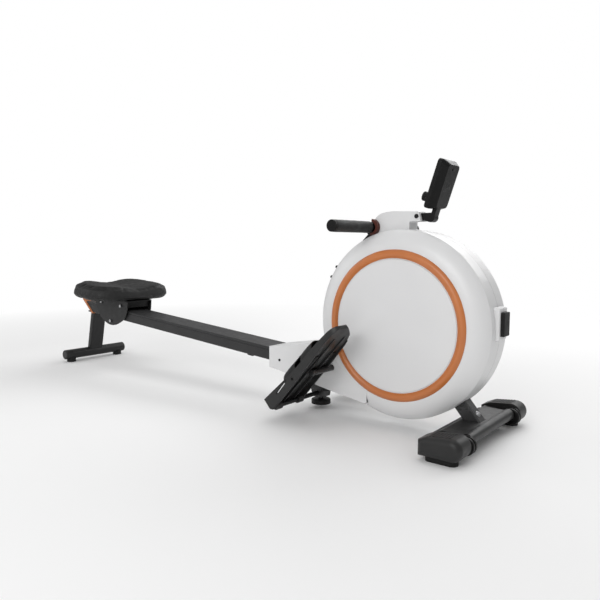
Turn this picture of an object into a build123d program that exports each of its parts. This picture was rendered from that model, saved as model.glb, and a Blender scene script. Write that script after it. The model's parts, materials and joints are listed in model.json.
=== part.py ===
from build123d import *
import os
from math import acos, atan2, cos, degrees, hypot, radians, sin, sqrt, tan

os.makedirs("parts", exist_ok=True)

# Magnetic rowing machine. Millimetres, +Z up, floor at Z = 0, +X towards the drum, user's left is +Y.

# ---- overall layout ----
HUB_X, HUB_Z = 686.0, 301.0          # centre of the drum
RIM_R = 267.0                        # drum radius at the edge of its rim band
RIM_CROWN = 1.5                      # rise of the rim band at the middle
BAND_HALF = 48.0                     # half width of the rim band
SIDE_Y = 79.0                        # outer face of the housing's side
WALL = 3.0                           # thickness of the plastic shells
GAP = 0.3                            # clearance between bodies that move past each other
SHAFT_PLAY = 0.05                    # radial running clearance on pins and axles

# ---- rail ----
RAIL_ANGLE = 4.46                    # the rail falls towards the drum
RAIL_W, RAIL_H = 102.0, 44.0
RAIL_WALL = 3.0
RAIL_TOP_AT_HUB = 146.0              # height of the rail's top line, carried on to the hub
RAIL_FRONT_X = 300.0
RAIL_JOINT_X = 158.0                 # bolts from the rail into the frame
RAKE_TOP, RAKE_BOTTOM = (-955.0, 284.0), (-880.0, 219.0)
CAP_THICK = 16.0                     # end cap, measured along X

# ---- seat and its carriage ----
SEAT_X = -714.0                      # middle of the carriage
SEAT_BACK = 14.0                     # the pad sits this far behind the carriage's middle
SEAT_L, SEAT_W, SEAT_T = 300.0, 400.0, 58.0
SEAT_CORNER = 108.0
SEAT_BASE_Z = 44.0                   # top of the seat pan above the rail
PLATE_Y, PLATE_T = 57.0, 4.0
UPPER_ROLLER_R, LOWER_ROLLER_R = 18.0, 12.0
ROLLER_W = 22.0
ROLLER_Y = 34.0
AXLE_R = 4.0
UPPER_AXLE_S = 72.0                  # upper axles ahead of and behind the carriage's middle

# ---- front foot ----
NOSE_X, NOSE_Z, NOSE_R = 934.0, 46.0, 16.0      # round tube in front of the deck
CAP_NOSE_X, CAP_NOSE_Z, CAP_NOSE_R = 930.0, 41.0, 29.0
WHEEL_X, WHEEL_Z = 940.0, 38.0
WHEEL_R, WHEEL_W, WHEEL_Y = 23.0, 22.0, 158.0
COVER_HALF = 143.0
CAP_IN, CAP_OUT = 173.0, 237.0

# ---- rear foot ----
REAR_X, REAR_Z, REAR_R = -952.0, 34.0, 21.0
REAR_HALF = 150.0

# ---- handle and its perch ----
BAR_X, BAR_Z = 581.0, 576.0
GRIP_R, BAR_R, BAR_WALL = 17.0, 12.5, 1.6
HANDLE_HALF = 230.0
GRIP_IN = 46.0

# ---- pedals ----
PEDAL_TILT = 42.0
HEEL_X, HEEL_Z = 337.0, 66.0
PEDAL_L, PEDAL_IN, PEDAL_OUT = 358.0, 101.0, 230.0
SOLE_TILT = 46.6                     # the footplate is steeper than the rims and meets their edges at the toe
SOLE_DROP = 24.0                     # footplate below the rims' edges at the heel
PEDAL_AXLE = (378.0, 52.0)
PEDAL_AXLE_R = 7.0
REST_BAR_R = 9.0

# ---- drive ----
FLY_X, FLY_Z, FLY_R, FLY_T = 735.0, 325.0, 128.0, 18.0
SPOOL_X, SPOOL_Z = 548.0, 385.0
DRIVE_R, SMALL_R = 78.0, 20.0
BELT_Y = 27.0
BELT_W = 12.0
STRAP_W, STRAP_T = 30.0, 2.0
FLY_AXLE_R, SPOOL_AXLE_R = 8.5, 7.5
MAGNET_PIVOT, MAGNET_PIN_R = (684.0, 484.0), 4.0

# ---- console ----
CONSOLE_X, CONSOLE_Z = 757.0, 600.0  # where the console's tongue meets its neck
PIVOT_X, PIVOT_Z = 722.0, 604.0      # the pin that it tilts on
CONSOLE_TILT = 18.6
CONSOLE_W, CONSOLE_H = 90.0, 135.0
CONSOLE_BOTTOM = 23.0                # case's lower edge above the tongue's foot
CONTROLS_UP = CONSOLE_BOTTOM + 28    # knob and buttons
WINDOW_UP = CONSOLE_BOTTOM + 90      # middle of the display window
WINDOW_W, WINDOW_H = 66.0, 62.0
DOOR_UP = CONSOLE_BOTTOM + 84        # middle of the battery door
DOOR_W, DOOR_H = 44.0, 62.0
FACE_D = 14.0                        # user's face in front of the tongue's middle


def finish(piece, label):
    """Name a finished piece and write its STEP file."""
    piece.part.label = label
    export_step(piece.part, f"parts/{label}.step")


def rail_top(x):
    """Height of the rail's top surface above the floor."""
    return RAIL_TOP_AT_HUB - tan(radians(RAIL_ANGLE)) * (x - HUB_X)


RAIL_DIR = (cos(radians(RAIL_ANGLE)), 0, -sin(radians(RAIL_ANGLE)))


def upright(y):
    """X-Z plane whose sketches are extruded towards -Y, starting at this Y."""
    return Plane.XZ.offset(-y)


def along_rail(x, y):
    """Upright plane on the rail's top line: local X runs along the rail, extruded towards -Y."""
    return Plane(origin=(x, y, rail_top(x)), x_dir=RAIL_DIR, z_dir=(0, -1, 0))


def rail_section(x):
    """Plane across the rail, local Y up, extruded towards the drum."""
    return Plane(origin=(x, 0, rail_top(x)), x_dir=(0, 1, 0), z_dir=RAIL_DIR)


def rail_side_down(x, y, depth):
    """Plane facing down out of the rail, this far under its top surface."""
    up = (sin(radians(RAIL_ANGLE)), 0, cos(radians(RAIL_ANGLE)))
    origin = (x - depth * up[0], y, rail_top(x) - depth * up[2])
    return Plane(origin=origin, x_dir=(0, 1, 0), z_dir=(-up[0], 0, -up[2]))


def pedal_plane(y):
    """Upright plane of a pedal: local X from heel to toe, local Y out of the sole."""
    a = radians(PEDAL_TILT)
    return Plane(origin=(HEEL_X, y, HEEL_Z), x_dir=(cos(a), 0, sin(a)), z_dir=(0, -1, 0))


def console_plane(depth):
    """Plane of the console's face: local Y up the case, normal towards the user."""
    a = radians(CONSOLE_TILT)
    origin = (CONSOLE_X - depth * cos(a), 0, CONSOLE_Z + depth * sin(a))
    return Plane(origin=origin, x_dir=(0, -1, 0), z_dir=(-cos(a), 0, sin(a)))


def rod(piece_plane, radius, length, mode=Mode.ADD):
    """A round bar from a plane along its normal."""
    with BuildSketch(piece_plane) as disc:
        Circle(radius)
    extrude(disc.sketch, amount=length, mode=mode)


def y_plane(x, y, z):
    """Plane facing -Y at a point, for round things that turn about Y."""
    return Plane(origin=(x, y, z), x_dir=(1, 0, 0), z_dir=(0, -1, 0))


# ======== rail ========
with BuildPart() as rail:
    rear_x = RAKE_TOP[0]
    with BuildSketch(rail_section(rear_x)):
        with Locations((0, -RAIL_H / 2)):
            RectangleRounded(RAIL_W, RAIL_H, 4)
            RectangleRounded(RAIL_W - 2 * RAIL_WALL, RAIL_H - 2 * RAIL_WALL, 2, mode=Mode.SUBTRACT)
        with Locations((-RAIL_W / 2, -9), (RAIL_W / 2, -9)):
            Rectangle(3.2, 4, mode=Mode.SUBTRACT)
    extrude(amount=(RAIL_FRONT_X - rear_x) / cos(radians(RAIL_ANGLE)))
    with BuildSketch(upright(RAIL_W)):
        with BuildLine():
            Polyline(
                (RAKE_TOP[0] + CAP_THICK, RAKE_TOP[1]),
                (RAKE_BOTTOM[0] + CAP_THICK, RAKE_BOTTOM[1]),
                (RAKE_TOP[0] - 40, RAKE_BOTTOM[1]),
                (RAKE_TOP[0] - 40, RAKE_TOP[1]),
                close=True,
            )
        make_face()
    extrude(amount=2 * RAIL_W, mode=Mode.SUBTRACT)
finish(rail, "rail")

FRONT_STOP_X, REAR_STOP_X = 78.0, -818.0
STOP_L, STOP_H = 30.0, 14.0


with BuildPart() as rail_stops:
    for x in (FRONT_STOP_X, REAR_STOP_X):
        with BuildSketch(along_rail(x, 16)):
            with Locations((0, -RAIL_H - STOP_H / 2)):
                RectangleRounded(STOP_L, STOP_H, 4)
        extrude(amount=32)
finish(rail_stops, "rail_stops")

# ======== rear foot ========
LEG_W, LEG_T = 64.0, 28.0
LEG_TOP_X, LEG_BOLT_X = -909.0, -853.0
FLANGE_L, FLANGE_W, FLANGE_T = 88.0, 80.0, 5.0
with BuildPart() as rear_leg:
    top_z = rail_top(LEG_TOP_X) - RAIL_H - FLANGE_T
    leg_run = (LEG_TOP_X - REAR_X, top_z - REAR_Z)
    leg_len = hypot(*leg_run)
    leg_plane = Plane(
        origin=(REAR_X, 0, REAR_Z), x_dir=(0, 1, 0), z_dir=(leg_run[0] / leg_len, 0, leg_run[1] / leg_len)
    )
    with BuildSketch(leg_plane):
        RectangleRounded(LEG_W, LEG_T, 7)
        RectangleRounded(LEG_W - 5, LEG_T - 5, 4.5, mode=Mode.SUBTRACT)
    extrude(amount=leg_len)
    with BuildSketch(along_rail(LEG_TOP_X, FLANGE_W / 2)):
        with Locations((FLANGE_L / 2 - LEG_T / 2 - 2, -RAIL_H - FLANGE_T / 2)):
            Rectangle(FLANGE_L, FLANGE_T)
    extrude(amount=FLANGE_W)
    with BuildSketch(y_plane(REAR_X, REAR_HALF, REAR_Z)):
        Circle(REAR_R)
    extrude(amount=2 * REAR_HALF, mode=Mode.SUBTRACT)
finish(rear_leg, "rear_leg")

with BuildPart() as rail_end_cap:
    cap_half = RAIL_W / 2 + 2
    with BuildSketch(upright(cap_half)):
        with BuildLine():
            Polyline(
                RAKE_TOP,
                (RAKE_TOP[0] + CAP_THICK, RAKE_TOP[1]),
                (RAKE_BOTTOM[0] + CAP_THICK, RAKE_BOTTOM[1]),
                RAKE_BOTTOM,
                close=True,
            )
        make_face()
    extrude(amount=2 * cap_half)
    fillet(rail_end_cap.edges().filter_by(Axis.Y), 3)
    with BuildSketch(along_rail(LEG_TOP_X, FLANGE_W / 2 + 1)):
        with Locations((0, -RAIL_H - 20)):
            Rectangle(200, 40)
    extrude(amount=FLANGE_W + 2, mode=Mode.SUBTRACT)
finish(rail_end_cap, "rail_end_cap")

with BuildPart() as rear_foot_bar:
    with BuildSketch(y_plane(REAR_X, REAR_HALF - 12, REAR_Z)):
        Circle(REAR_R)
        Circle(REAR_R - 2, mode=Mode.SUBTRACT)
    extrude(amount=2 * (REAR_HALF - 12))
finish(rear_foot_bar, "rear_foot_bar")


with BuildPart() as rear_foot_caps:
    rod(y_plane(REAR_X, REAR_HALF, REAR_Z), REAR_R, 12)
    fillet(rear_foot_caps.edges().group_by(Axis.Y)[-1], 4)
    rod(y_plane(REAR_X, REAR_HALF - 12, REAR_Z), REAR_R - 2, 18)
    mirror(about=Plane.XZ)
finish(rear_foot_caps, "rear_foot_caps")

REAR_PAD_Y, REAR_PAD_R = 118.0, 19.0
CAP_PAD_Z, CAP_PAD_X = 12.0, CAP_NOSE_X - 32
with BuildPart() as floor_pads:
    with BuildSketch(Plane.XY):
        with Locations((REAR_X, REAR_PAD_Y), (REAR_X, -REAR_PAD_Y)):
            Circle(REAR_PAD_R)
    extrude(amount=24)
    rod(y_plane(REAR_X, REAR_HALF, REAR_Z), REAR_R, 2 * REAR_HALF, mode=Mode.SUBTRACT)
    with BuildSketch(Plane.XY):
        with Locations((CAP_PAD_X, 206), (CAP_PAD_X, -206)):
            SlotOverall(84, 34)
    extrude(amount=CAP_PAD_Z)
finish(floor_pads, "floor_pads")

# ======== welded main frame ========
SPINE_W, SPINE_H = 80.0, 34.0
PLATE_IN, FRAME_T = 40.0, 4.0
POST_SIZE, POST_WALL = 38.0, 2.5
POST_FOOT = (905.0, 42.0)
POST_HEAD = (788.0, 179.0)
MAST_X, MAST_FOOT_Z, MAST_TOP_Z = 640.0, 470.0, 600.0
CROSS_R = 14.0
MOUNT_HALF = 22.0
MOUNT_OUTLINE = [
    (352, 136), (446, 128), (446, 76), (432, 66), (400, 60), (396, 38), (358, 38), (352, 60),
]
REST_BAR_AT = (473.2, 178.0, 155.4)  # touches the footplates between the strap's two bands
post_run = (POST_FOOT[0] - POST_HEAD[0], POST_FOOT[1] - POST_HEAD[1])
POST_LEN = hypot(*post_run)
POST_DIR = (post_run[0] / POST_LEN, 0, post_run[1] / POST_LEN)

frame_outline = [
    (430, 128), (560, 100), (745, 118), (818, 168), (806, 330), (745, 372),
    (672, 500), (606, 500), (520, 430), (500, 350), (540, 250), (470, 175), (430, 180),
]
with BuildPart() as main_frame:
    with BuildSketch(upright(PLATE_IN + FRAME_T)):
        Polygon(*frame_outline, align=None)
        with Locations((640, 205), (640, 420)):
            Circle(34, mode=Mode.SUBTRACT)
    extrude(amount=FRAME_T)
    mirror(about=Plane.XZ)
    with BuildSketch(rail_section(190)):
        with Locations((0, -RAIL_H / 2)):
            Rectangle(SPINE_W, SPINE_H)
            Rectangle(SPINE_W - 6, SPINE_H - 6, mode=Mode.SUBTRACT)
    extrude(amount=330)
    post_plane = Plane(origin=(POST_HEAD[0], 0, POST_HEAD[1]), x_dir=(0, 1, 0), z_dir=POST_DIR)
    with BuildSketch(post_plane):
        RectangleRounded(POST_SIZE, POST_SIZE, 4)
        RectangleRounded(POST_SIZE - 2 * POST_WALL, POST_SIZE - 2 * POST_WALL, 2, mode=Mode.SUBTRACT)
    extrude(amount=POST_LEN)
    with BuildSketch(Plane.XY.offset(MAST_FOOT_Z)):
        with Locations((MAST_X, 0)):
            Rectangle(40, 34)
            Rectangle(35, 29, mode=Mode.SUBTRACT)
    extrude(amount=MAST_TOP_Z - MAST_FOOT_Z)
    for cx, cz in (POST_HEAD, (MAST_X, MAST_FOOT_Z - 2)):
        rod(y_plane(cx, PLATE_IN, cz), CROSS_R, 2 * PLATE_IN)
    # leg under the spine that carries the pedal axle and the middle foot
    with BuildSketch(upright(MOUNT_HALF)):
        with BuildLine():
            Polyline(*MOUNT_OUTLINE, close=True)
        make_face()
    extrude(amount=2 * MOUNT_HALF)
    rod(y_plane(*REST_BAR_AT), REST_BAR_R, 2 * REST_BAR_AT[1])
    # bores for the axles
    plate_out = PLATE_IN + FRAME_T + 1
    rod(y_plane(FLY_X, plate_out, FLY_Z), FLY_AXLE_R, 2 * plate_out, mode=Mode.SUBTRACT)
    rod(y_plane(SPOOL_X, plate_out, SPOOL_Z), SPOOL_AXLE_R, 2 * plate_out, mode=Mode.SUBTRACT)
    rod(y_plane(MAGNET_PIVOT[0], plate_out, MAGNET_PIVOT[1]), MAGNET_PIN_R, 2 * plate_out, mode=Mode.SUBTRACT)
    mount_bore = y_plane(PEDAL_AXLE[0], MOUNT_HALF + 1, PEDAL_AXLE[1])
    rod(mount_bore, PEDAL_AXLE_R, 2 * MOUNT_HALF + 2, mode=Mode.SUBTRACT)
finish(main_frame, "main_frame")

# ======== front foot ========
BAR_IN_X, BAR_IN_Z, BAR_IN_HALF = 873.0, 38.0, 205.0
TUBE_L, TUBE_H = 42.0, 30.0
with BuildPart() as stabiliser_bar:
    with BuildSketch(upright(BAR_IN_HALF)):
        with Locations((BAR_IN_X, BAR_IN_Z)):
            RectangleRounded(TUBE_L, TUBE_H, 4)
            RectangleRounded(TUBE_L - 5, TUBE_H - 5, 2, mode=Mode.SUBTRACT)
    extrude(amount=2 * BAR_IN_HALF)
    with BuildSketch(post_plane):
        Rectangle(POST_SIZE, POST_SIZE)
    extrude(amount=POST_LEN + 1, mode=Mode.SUBTRACT)
finish(stabiliser_bar, "stabiliser_bar")


DECK_BACK, DECK_FRONT = 845.0, 922.0
DECK_LOW, DECK_HIGH = 20.0, 57.0


def cover_section(inset):
    """Side outline of the cover: a round tube in front of a flat deck."""
    with Locations((NOSE_X, NOSE_Z)):
        Circle(NOSE_R - inset)
    with BuildLine() as outline:
        top = Line((DECK_FRONT + 6, DECK_HIGH - inset), (DECK_BACK + 21, DECK_HIGH - inset))
        slope = Line(top @ 1, (DECK_BACK + inset, DECK_HIGH - 7 - inset))
        back = Line(slope @ 1, (DECK_BACK + inset, DECK_LOW + inset))
        under = Line(back @ 1, (DECK_FRONT - 22, DECK_LOW + inset))
        rise = Line(under @ 1, (DECK_FRONT + 6, NOSE_Z - NOSE_R + 3 + inset))
        Line(rise @ 1, top @ 0)
    make_face(outline.edges())


def cap_section():
    """Bullet-shaped side outline of a foot cap: round nose in front, flat top behind."""
    cap_top = CAP_NOSE_Z + CAP_NOSE_R
    with BuildLine() as outline:
        top = Line((CAP_NOSE_X, cap_top), (DECK_BACK + 21, cap_top - 7))
        slope = Line(top @ 1, (DECK_BACK - 2, cap_top - 18))
        back = Line(slope @ 1, (DECK_BACK - 2, CAP_PAD_Z))
        under = Line(back @ 1, (CAP_NOSE_X, CAP_PAD_Z))
        RadiusArc(under @ 1, top @ 0, -CAP_NOSE_R)
    make_face(outline.edges())


with BuildPart() as stabiliser_cover:
    with BuildSketch(upright(COVER_HALF)):
        cover_section(0)
    extrude(amount=2 * COVER_HALF)
    with BuildSketch(upright(COVER_HALF - 4)):
        cover_section(3.5)
    extrude(amount=2 * COVER_HALF - 8, mode=Mode.SUBTRACT)
    with BuildSketch(upright(COVER_HALF + 1)):
        with Locations((BAR_IN_X, BAR_IN_Z)):
            Rectangle(TUBE_L + 0.4, TUBE_H + 0.4)
    extrude(amount=2 * COVER_HALF + 2, mode=Mode.SUBTRACT)
    with BuildSketch(post_plane):
        Rectangle(POST_SIZE + 1, POST_SIZE + 1)
    extrude(amount=POST_LEN + 1, mode=Mode.SUBTRACT)
    rod(y_plane(WHEEL_X, COVER_HALF, WHEEL_Z), AXLE_R, 2 * COVER_HALF, mode=Mode.SUBTRACT)
finish(stabiliser_cover, "stabiliser_cover")

CAP_ROUND = 17.0                     # domed outer end of the foot caps
with BuildPart() as stabiliser_caps:
    with BuildSketch(upright(CAP_OUT)):
        cap_section()
    extrude(amount=CAP_OUT - CAP_IN)
    fillet(stabiliser_caps.faces().sort_by(Axis.Y)[-1].edges(), CAP_ROUND)
    with BuildSketch(upright(BAR_IN_HALF + 1)):
        with Locations((BAR_IN_X, BAR_IN_Z)):
            Rectangle(TUBE_L + 0.4, TUBE_H + 0.4)
    extrude(amount=BAR_IN_HALF, mode=Mode.SUBTRACT)
    rod(y_plane(WHEEL_X, CAP_IN + 15, WHEEL_Z), AXLE_R, CAP_IN, mode=Mode.SUBTRACT)
    mirror(about=Plane.XZ)
finish(stabiliser_caps, "stabiliser_caps")

with BuildPart() as wheel_axles:
    for y in (CAP_IN + 14, -COVER_HALF + 4):
        rod(y_plane(WHEEL_X, y, WHEEL_Z), AXLE_R, CAP_IN + 14 - COVER_HALF + 4)
finish(wheel_axles, "wheel_axles")


WHEEL_DISH = 4.0


def transport_wheel(side):
    """Small wheel at the corner of the front foot, clear of the floor until the machine is tipped."""
    y = side * WHEEL_Y + WHEEL_W / 2
    with BuildPart() as wheel:
        rod(y_plane(WHEEL_X, y, WHEEL_Z), WHEEL_R, WHEEL_W)
        chamfer(wheel.edges().filter_by(GeomType.CIRCLE), 2)
        for dish_y in (y, y - WHEEL_W + WHEEL_DISH):
            with BuildSketch(y_plane(WHEEL_X, dish_y, WHEEL_Z)):
                Circle(WHEEL_R - 6)
                Circle(AXLE_R + 4, mode=Mode.SUBTRACT)
            extrude(amount=WHEEL_DISH, mode=Mode.SUBTRACT)
        # groove round the tread
        with BuildSketch(y_plane(WHEEL_X, y - WHEEL_W / 2 + 3, WHEEL_Z)):
            Circle(WHEEL_R + 1)
            Circle(WHEEL_R - 3, mode=Mode.SUBTRACT)
        extrude(amount=6, mode=Mode.SUBTRACT)
        rod(y_plane(WHEEL_X, y, WHEEL_Z), AXLE_R + SHAFT_PLAY, WHEEL_W, mode=Mode.SUBTRACT)
    return wheel


finish(transport_wheel(1), "transport_wheel_left")
finish(transport_wheel(-1), "transport_wheel_right")

# ======== housing ========
DISC_R, RING_IN, RING_OUT = 190.0, 189.0, 212.0
ARC_R = 214.0                        # where the side starts to round over to the rim band
SEAM_X = 400.0                       # joint between the neck cover and the housing's tail
NECK_X = 199.0
NECK_HALF = 54.0
SCREW_X, SCREW_Y, SCREW_Z = 246.0, 57.5, 147.0
SCREW_R, SCREW_L = 4.0, 6.0


def drum_profile(inset):
    """Half section of the drum from its middle plane outwards, between the axle and the shell's face."""
    with BuildLine() as outline:
        side_line = Line((0, SIDE_Y - inset), (ARC_R, SIDE_Y - inset))
        shoulder = TangentArc(side_line @ 1, (RIM_R - inset, BAND_HALF - inset / 2), tangent=(1, 0))
        band = Line(shoulder @ 1, (RIM_R + RIM_CROWN - inset, 0))
        Line(band @ 1, (0, 0))
        Line((0, 0), side_line @ 0)
    make_face(outline.edges())


def tail_top(x):
    """Height of the tail's top: it climbs from the rail, then runs level into the drum."""
    return 188 + 0.163 * (min(x, SEAM_X) - NECK_X)


def tail_floor(x):
    """Height of the tail's underside."""
    return 118 - 0.13 * (x - NECK_X)


def tail(inset, start_x, end_x, floor_y):
    """Tapered block behind the drum that runs down over the end of the rail."""
    with BuildSketch(upright(SIDE_Y)) as side_view:
        with BuildLine():
            top = Line((start_x, tail_top(start_x) - inset), (end_x, tail_top(end_x) - inset))
            front = Line(top @ 1, (end_x, tail_floor(end_x) + inset))
            low = Line(front @ 1, (start_x, tail_floor(start_x) + inset))
            Line(low @ 1, top @ 0)
        make_face()
    extrude(side_view.sketch, amount=SIDE_Y - floor_y)
    with BuildSketch(Plane.XY) as plan_view:
        with BuildLine():
            edge = Spline(
                (NECK_X - 1, NECK_HALF - inset),
                (300, 59 - inset),
                (SEAM_X, 68 - inset),
                (560, SIDE_Y - inset),
                tangents=[(1, 0), (1, 0)],
            )
            outer_end = Line(edge @ 1, (700, SIDE_Y - inset))
            far = Line(outer_end @ 1, (700, -100))
            base = Line(far @ 1, (NECK_X - 1, -100))
            Line(base @ 1, edge @ 0)
        make_face()
    extrude(plan_view.sketch, amount=400, mode=Mode.INTERSECT)


HUB = Plane(origin=(HUB_X, 0, HUB_Z), x_dir=(1, 0, 0), z_dir=(0, 0, 1))
HUB_AXIS = Axis((HUB_X, 0, HUB_Z), (0, 1, 0))
OUTLET_ANGLE = 148.0                 # where the pull strap leaves the drum
outlet_dir = (cos(radians(OUTLET_ANGLE)), 0, sin(radians(OUTLET_ANGLE)))
OUTLET = Plane(origin=(HUB_X, 0, HUB_Z), x_dir=(0, 1, 0), z_dir=outlet_dir)
OUTLET_W, OUTLET_H = 84.0, 36.0

with BuildPart() as tail_solid:
    tail(0, SEAM_X, 600, 0)
with BuildPart() as tail_hollow:
    tail(WALL, SEAM_X - 1, 600, -1)
with BuildPart() as drum_hollow:
    with BuildSketch(HUB):
        drum_profile(WALL)
    revolve(axis=HUB_AXIS)

with BuildPart() as housing_left:
    with BuildSketch(HUB):
        drum_profile(0)
    revolve(axis=HUB_AXIS)
    add(tail_solid.part)
    add(tail_hollow.part, mode=Mode.SUBTRACT)
    add(drum_hollow.part, mode=Mode.SUBTRACT)
    # round hole that the disc panel closes
    with BuildSketch(y_plane(HUB_X, SIDE_Y + 1, HUB_Z)):
        Circle(DISC_R - 4)
    extrude(amount=WALL + 2, mode=Mode.SUBTRACT)
    # openings for the front post, the mast, the strap, the pedal mount and the pedal rest
    with BuildSketch(post_plane):
        Rectangle(POST_SIZE + 2, POST_SIZE + 2)
    extrude(amount=POST_LEN, mode=Mode.SUBTRACT)
    with BuildSketch(Plane.XY.offset(HUB_Z + 200)):
        with Locations((MAST_X, 0)):
            Rectangle(46, 40)
    extrude(amount=100, mode=Mode.SUBTRACT)
    with BuildSketch(OUTLET.offset(RIM_R - 20)):
        Rectangle(OUTLET_W, OUTLET_H)
    extrude(amount=40, mode=Mode.SUBTRACT)
    with BuildSketch(Plane.XY.offset(50)):
        with Locations((SEAM_X, 0)):
            Rectangle(100, 2 * MOUNT_HALF + 2)
    extrude(amount=60, mode=Mode.SUBTRACT)
    rod(y_plane(*REST_BAR_AT), REST_BAR_R + 0.5, REST_BAR_AT[1], mode=Mode.SUBTRACT)
finish(housing_left, "housing_left")

with BuildPart() as housing_right:
    mirror(objects=housing_left.part, about=Plane.XZ)
finish(housing_right, "housing_right")

with BuildPart() as neck_half:
    tail(0, NECK_X, SEAM_X, 0)
    with BuildSketch(Plane.XY.offset(50)):
        with Locations((SEAM_X, 0)):
            Rectangle(100, 2 * MOUNT_HALF + 2)
    extrude(amount=60, mode=Mode.SUBTRACT)
with BuildPart() as neck_hollow:
    tail(WALL, NECK_X + 4, SEAM_X + 1, -1)
with BuildPart() as neck_cover:
    add(neck_half.part)
    add(neck_hollow.part, mode=Mode.SUBTRACT)
    mirror(about=Plane.XZ)
    with BuildSketch(rail_section(NECK_X - 10)):
        with Locations((0, -RAIL_H / 2)):
            Rectangle(RAIL_W + 0.6, RAIL_H + 0.6)
    extrude(amount=120, mode=Mode.SUBTRACT)
    rod(y_plane(SCREW_X, SCREW_Y + 1, SCREW_Z), SCREW_R, 2 * SCREW_Y + 2, mode=Mode.SUBTRACT)
finish(neck_cover, "neck_cover")


with BuildPart() as disc_panels:
    rod(y_plane(HUB_X, SIDE_Y + 1, HUB_Z), DISC_R - 4.3, WALL + 1)
    fillet(disc_panels.edges().group_by(Axis.Y)[-1], 0.8)
    mirror(about=Plane.XZ)
finish(disc_panels, "disc_panels")

RING_RISE = 7.0


with BuildPart() as ring_trims:
    with BuildSketch(HUB):
        with BuildLine():
            crest = Spline(
                (RING_IN, SIDE_Y + 1.0),
                ((RING_IN + RING_OUT) / 2, SIDE_Y + RING_RISE),
                (RING_OUT, SIDE_Y),
            )
            Polyline(crest @ 1, (DISC_R - 2, SIDE_Y), (DISC_R - 2, SIDE_Y + 1.0), crest @ 0)
        make_face()
    revolve(axis=HUB_AXIS)
    mirror(about=Plane.XZ)
finish(ring_trims, "ring_trims")

# ======== upright-storage bumper ========
BOSS_FRONT, BUMPER_Z = 963.0, 322.0
PAD_FRONT = 973.0
with BuildPart() as bumper_boss:
    with BuildSketch(Plane.YZ.offset(BOSS_FRONT - 50)):
        with Locations((0, BUMPER_Z)):
            RectangleRounded(62, 92, 8)
    extrude(amount=50, taper=4)
    with BuildSketch(HUB):
        with BuildLine():
            Polyline((0, 0), (RIM_R + RIM_CROWN, 0), (RIM_R, BAND_HALF), (0, BAND_HALF), close=True)
        make_face()
    revolve(axis=HUB_AXIS, mode=Mode.SUBTRACT)
    with BuildSketch(HUB):
        with BuildLine():
            Polyline((0, 0), (RIM_R + RIM_CROWN, 0), (RIM_R, -BAND_HALF), (0, -BAND_HALF), close=True)
        make_face()
    revolve(axis=HUB_AXIS, mode=Mode.SUBTRACT)
    fillet(bumper_boss.faces().sort_by(Axis.X)[-1].edges(), 5)
    with BuildSketch(Plane.YZ.offset(BOSS_FRONT - 4)):
        with Locations((0, BUMPER_Z)):
            RectangleRounded(38.4, 62.4, 3)
    extrude(amount=10, mode=Mode.SUBTRACT)
finish(bumper_boss, "bumper_boss")

with BuildPart() as bumper_pad:
    with BuildSketch(Plane.YZ.offset(BOSS_FRONT - 4)):
        with Locations((0, BUMPER_Z)):
            RectangleRounded(38, 62, 3)
    extrude(amount=PAD_FRONT - BOSS_FRONT + 4)
    fillet(bumper_pad.faces().sort_by(Axis.X)[-1].edges(), 1.5)
finish(bumper_pad, "bumper_pad")

# ======== pull handle, its perch and the strap ========
PERCH_HALF, PERCH_HEEL_X = 24.0, 700.0
CRADLE_IN, CRADLE_OUT, CRADLE_HALF = 16.5, 24.5, 38.0
CRADLE_LOW, CRADLE_HIGH = -91.0, 79.0   # lips of the cradle, seen round the handle
with BuildPart() as handle_bracket:
    with BuildSketch(upright(PERCH_HALF)):
        with BuildLine():
            back = Line((574, 520), (578, 572))
            rise = Spline(back @ 1, (594, 606), (648, 620), tangents=[(0.1, 1), (1, 0.05)])
            arm_top = Line(rise @ 1, (728, 617))
            arm_end = Line(arm_top @ 1, (735, 590))
            arm_under = Line(arm_end @ 1, (PERCH_HEEL_X, 590))
            foot = Line(arm_under @ 1, (PERCH_HEEL_X, 520))
            Line(foot @ 1, back @ 0)
        make_face()
    extrude(amount=2 * PERCH_HALF)
    fillet(handle_bracket.edges().filter_by(Axis.Y).sort_by(Axis.Z)[-4:], 4)
    with BuildSketch(HUB):
        with BuildLine():
            Polyline((0, -BAND_HALF), (RIM_R, -BAND_HALF), (RIM_R + RIM_CROWN, 0), (0, 0), close=True)
        make_face()
        with BuildLine():
            Polyline((0, BAND_HALF), (RIM_R, BAND_HALF), (RIM_R + RIM_CROWN, 0), (0, 0), close=True)
        make_face()
    revolve(axis=HUB_AXIS, mode=Mode.SUBTRACT)
    with BuildSketch(Plane.XY.offset(MAST_FOOT_Z)):
        with Locations((MAST_X, 0)):
            Rectangle(40.4, 34.4)
    extrude(amount=MAST_TOP_Z - MAST_FOOT_Z + 0.4, mode=Mode.SUBTRACT)
    # seat for the handle's cradle, open towards the rower
    with BuildSketch(upright(PERCH_HALF)):
        with Locations((BAR_X, BAR_Z)):
            Circle(CRADLE_OUT)
        with Locations((BAR_X - 20, BAR_Z)):
            Rectangle(40, 2 * CRADLE_OUT)
    extrude(amount=2 * PERCH_HALF, mode=Mode.SUBTRACT)
    # slot in the arm's end for the console's knuckle
    with BuildSketch(Plane.XY.offset(585)):
        with Locations((728, 0)):
            Rectangle(40, 26)
    extrude(amount=40, mode=Mode.SUBTRACT)
    rod(y_plane(PIVOT_X, PERCH_HALF + 1, PIVOT_Z), AXLE_R, 2 * PERCH_HALF + 2, mode=Mode.SUBTRACT)
finish(handle_bracket, "handle_bracket")

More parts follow.
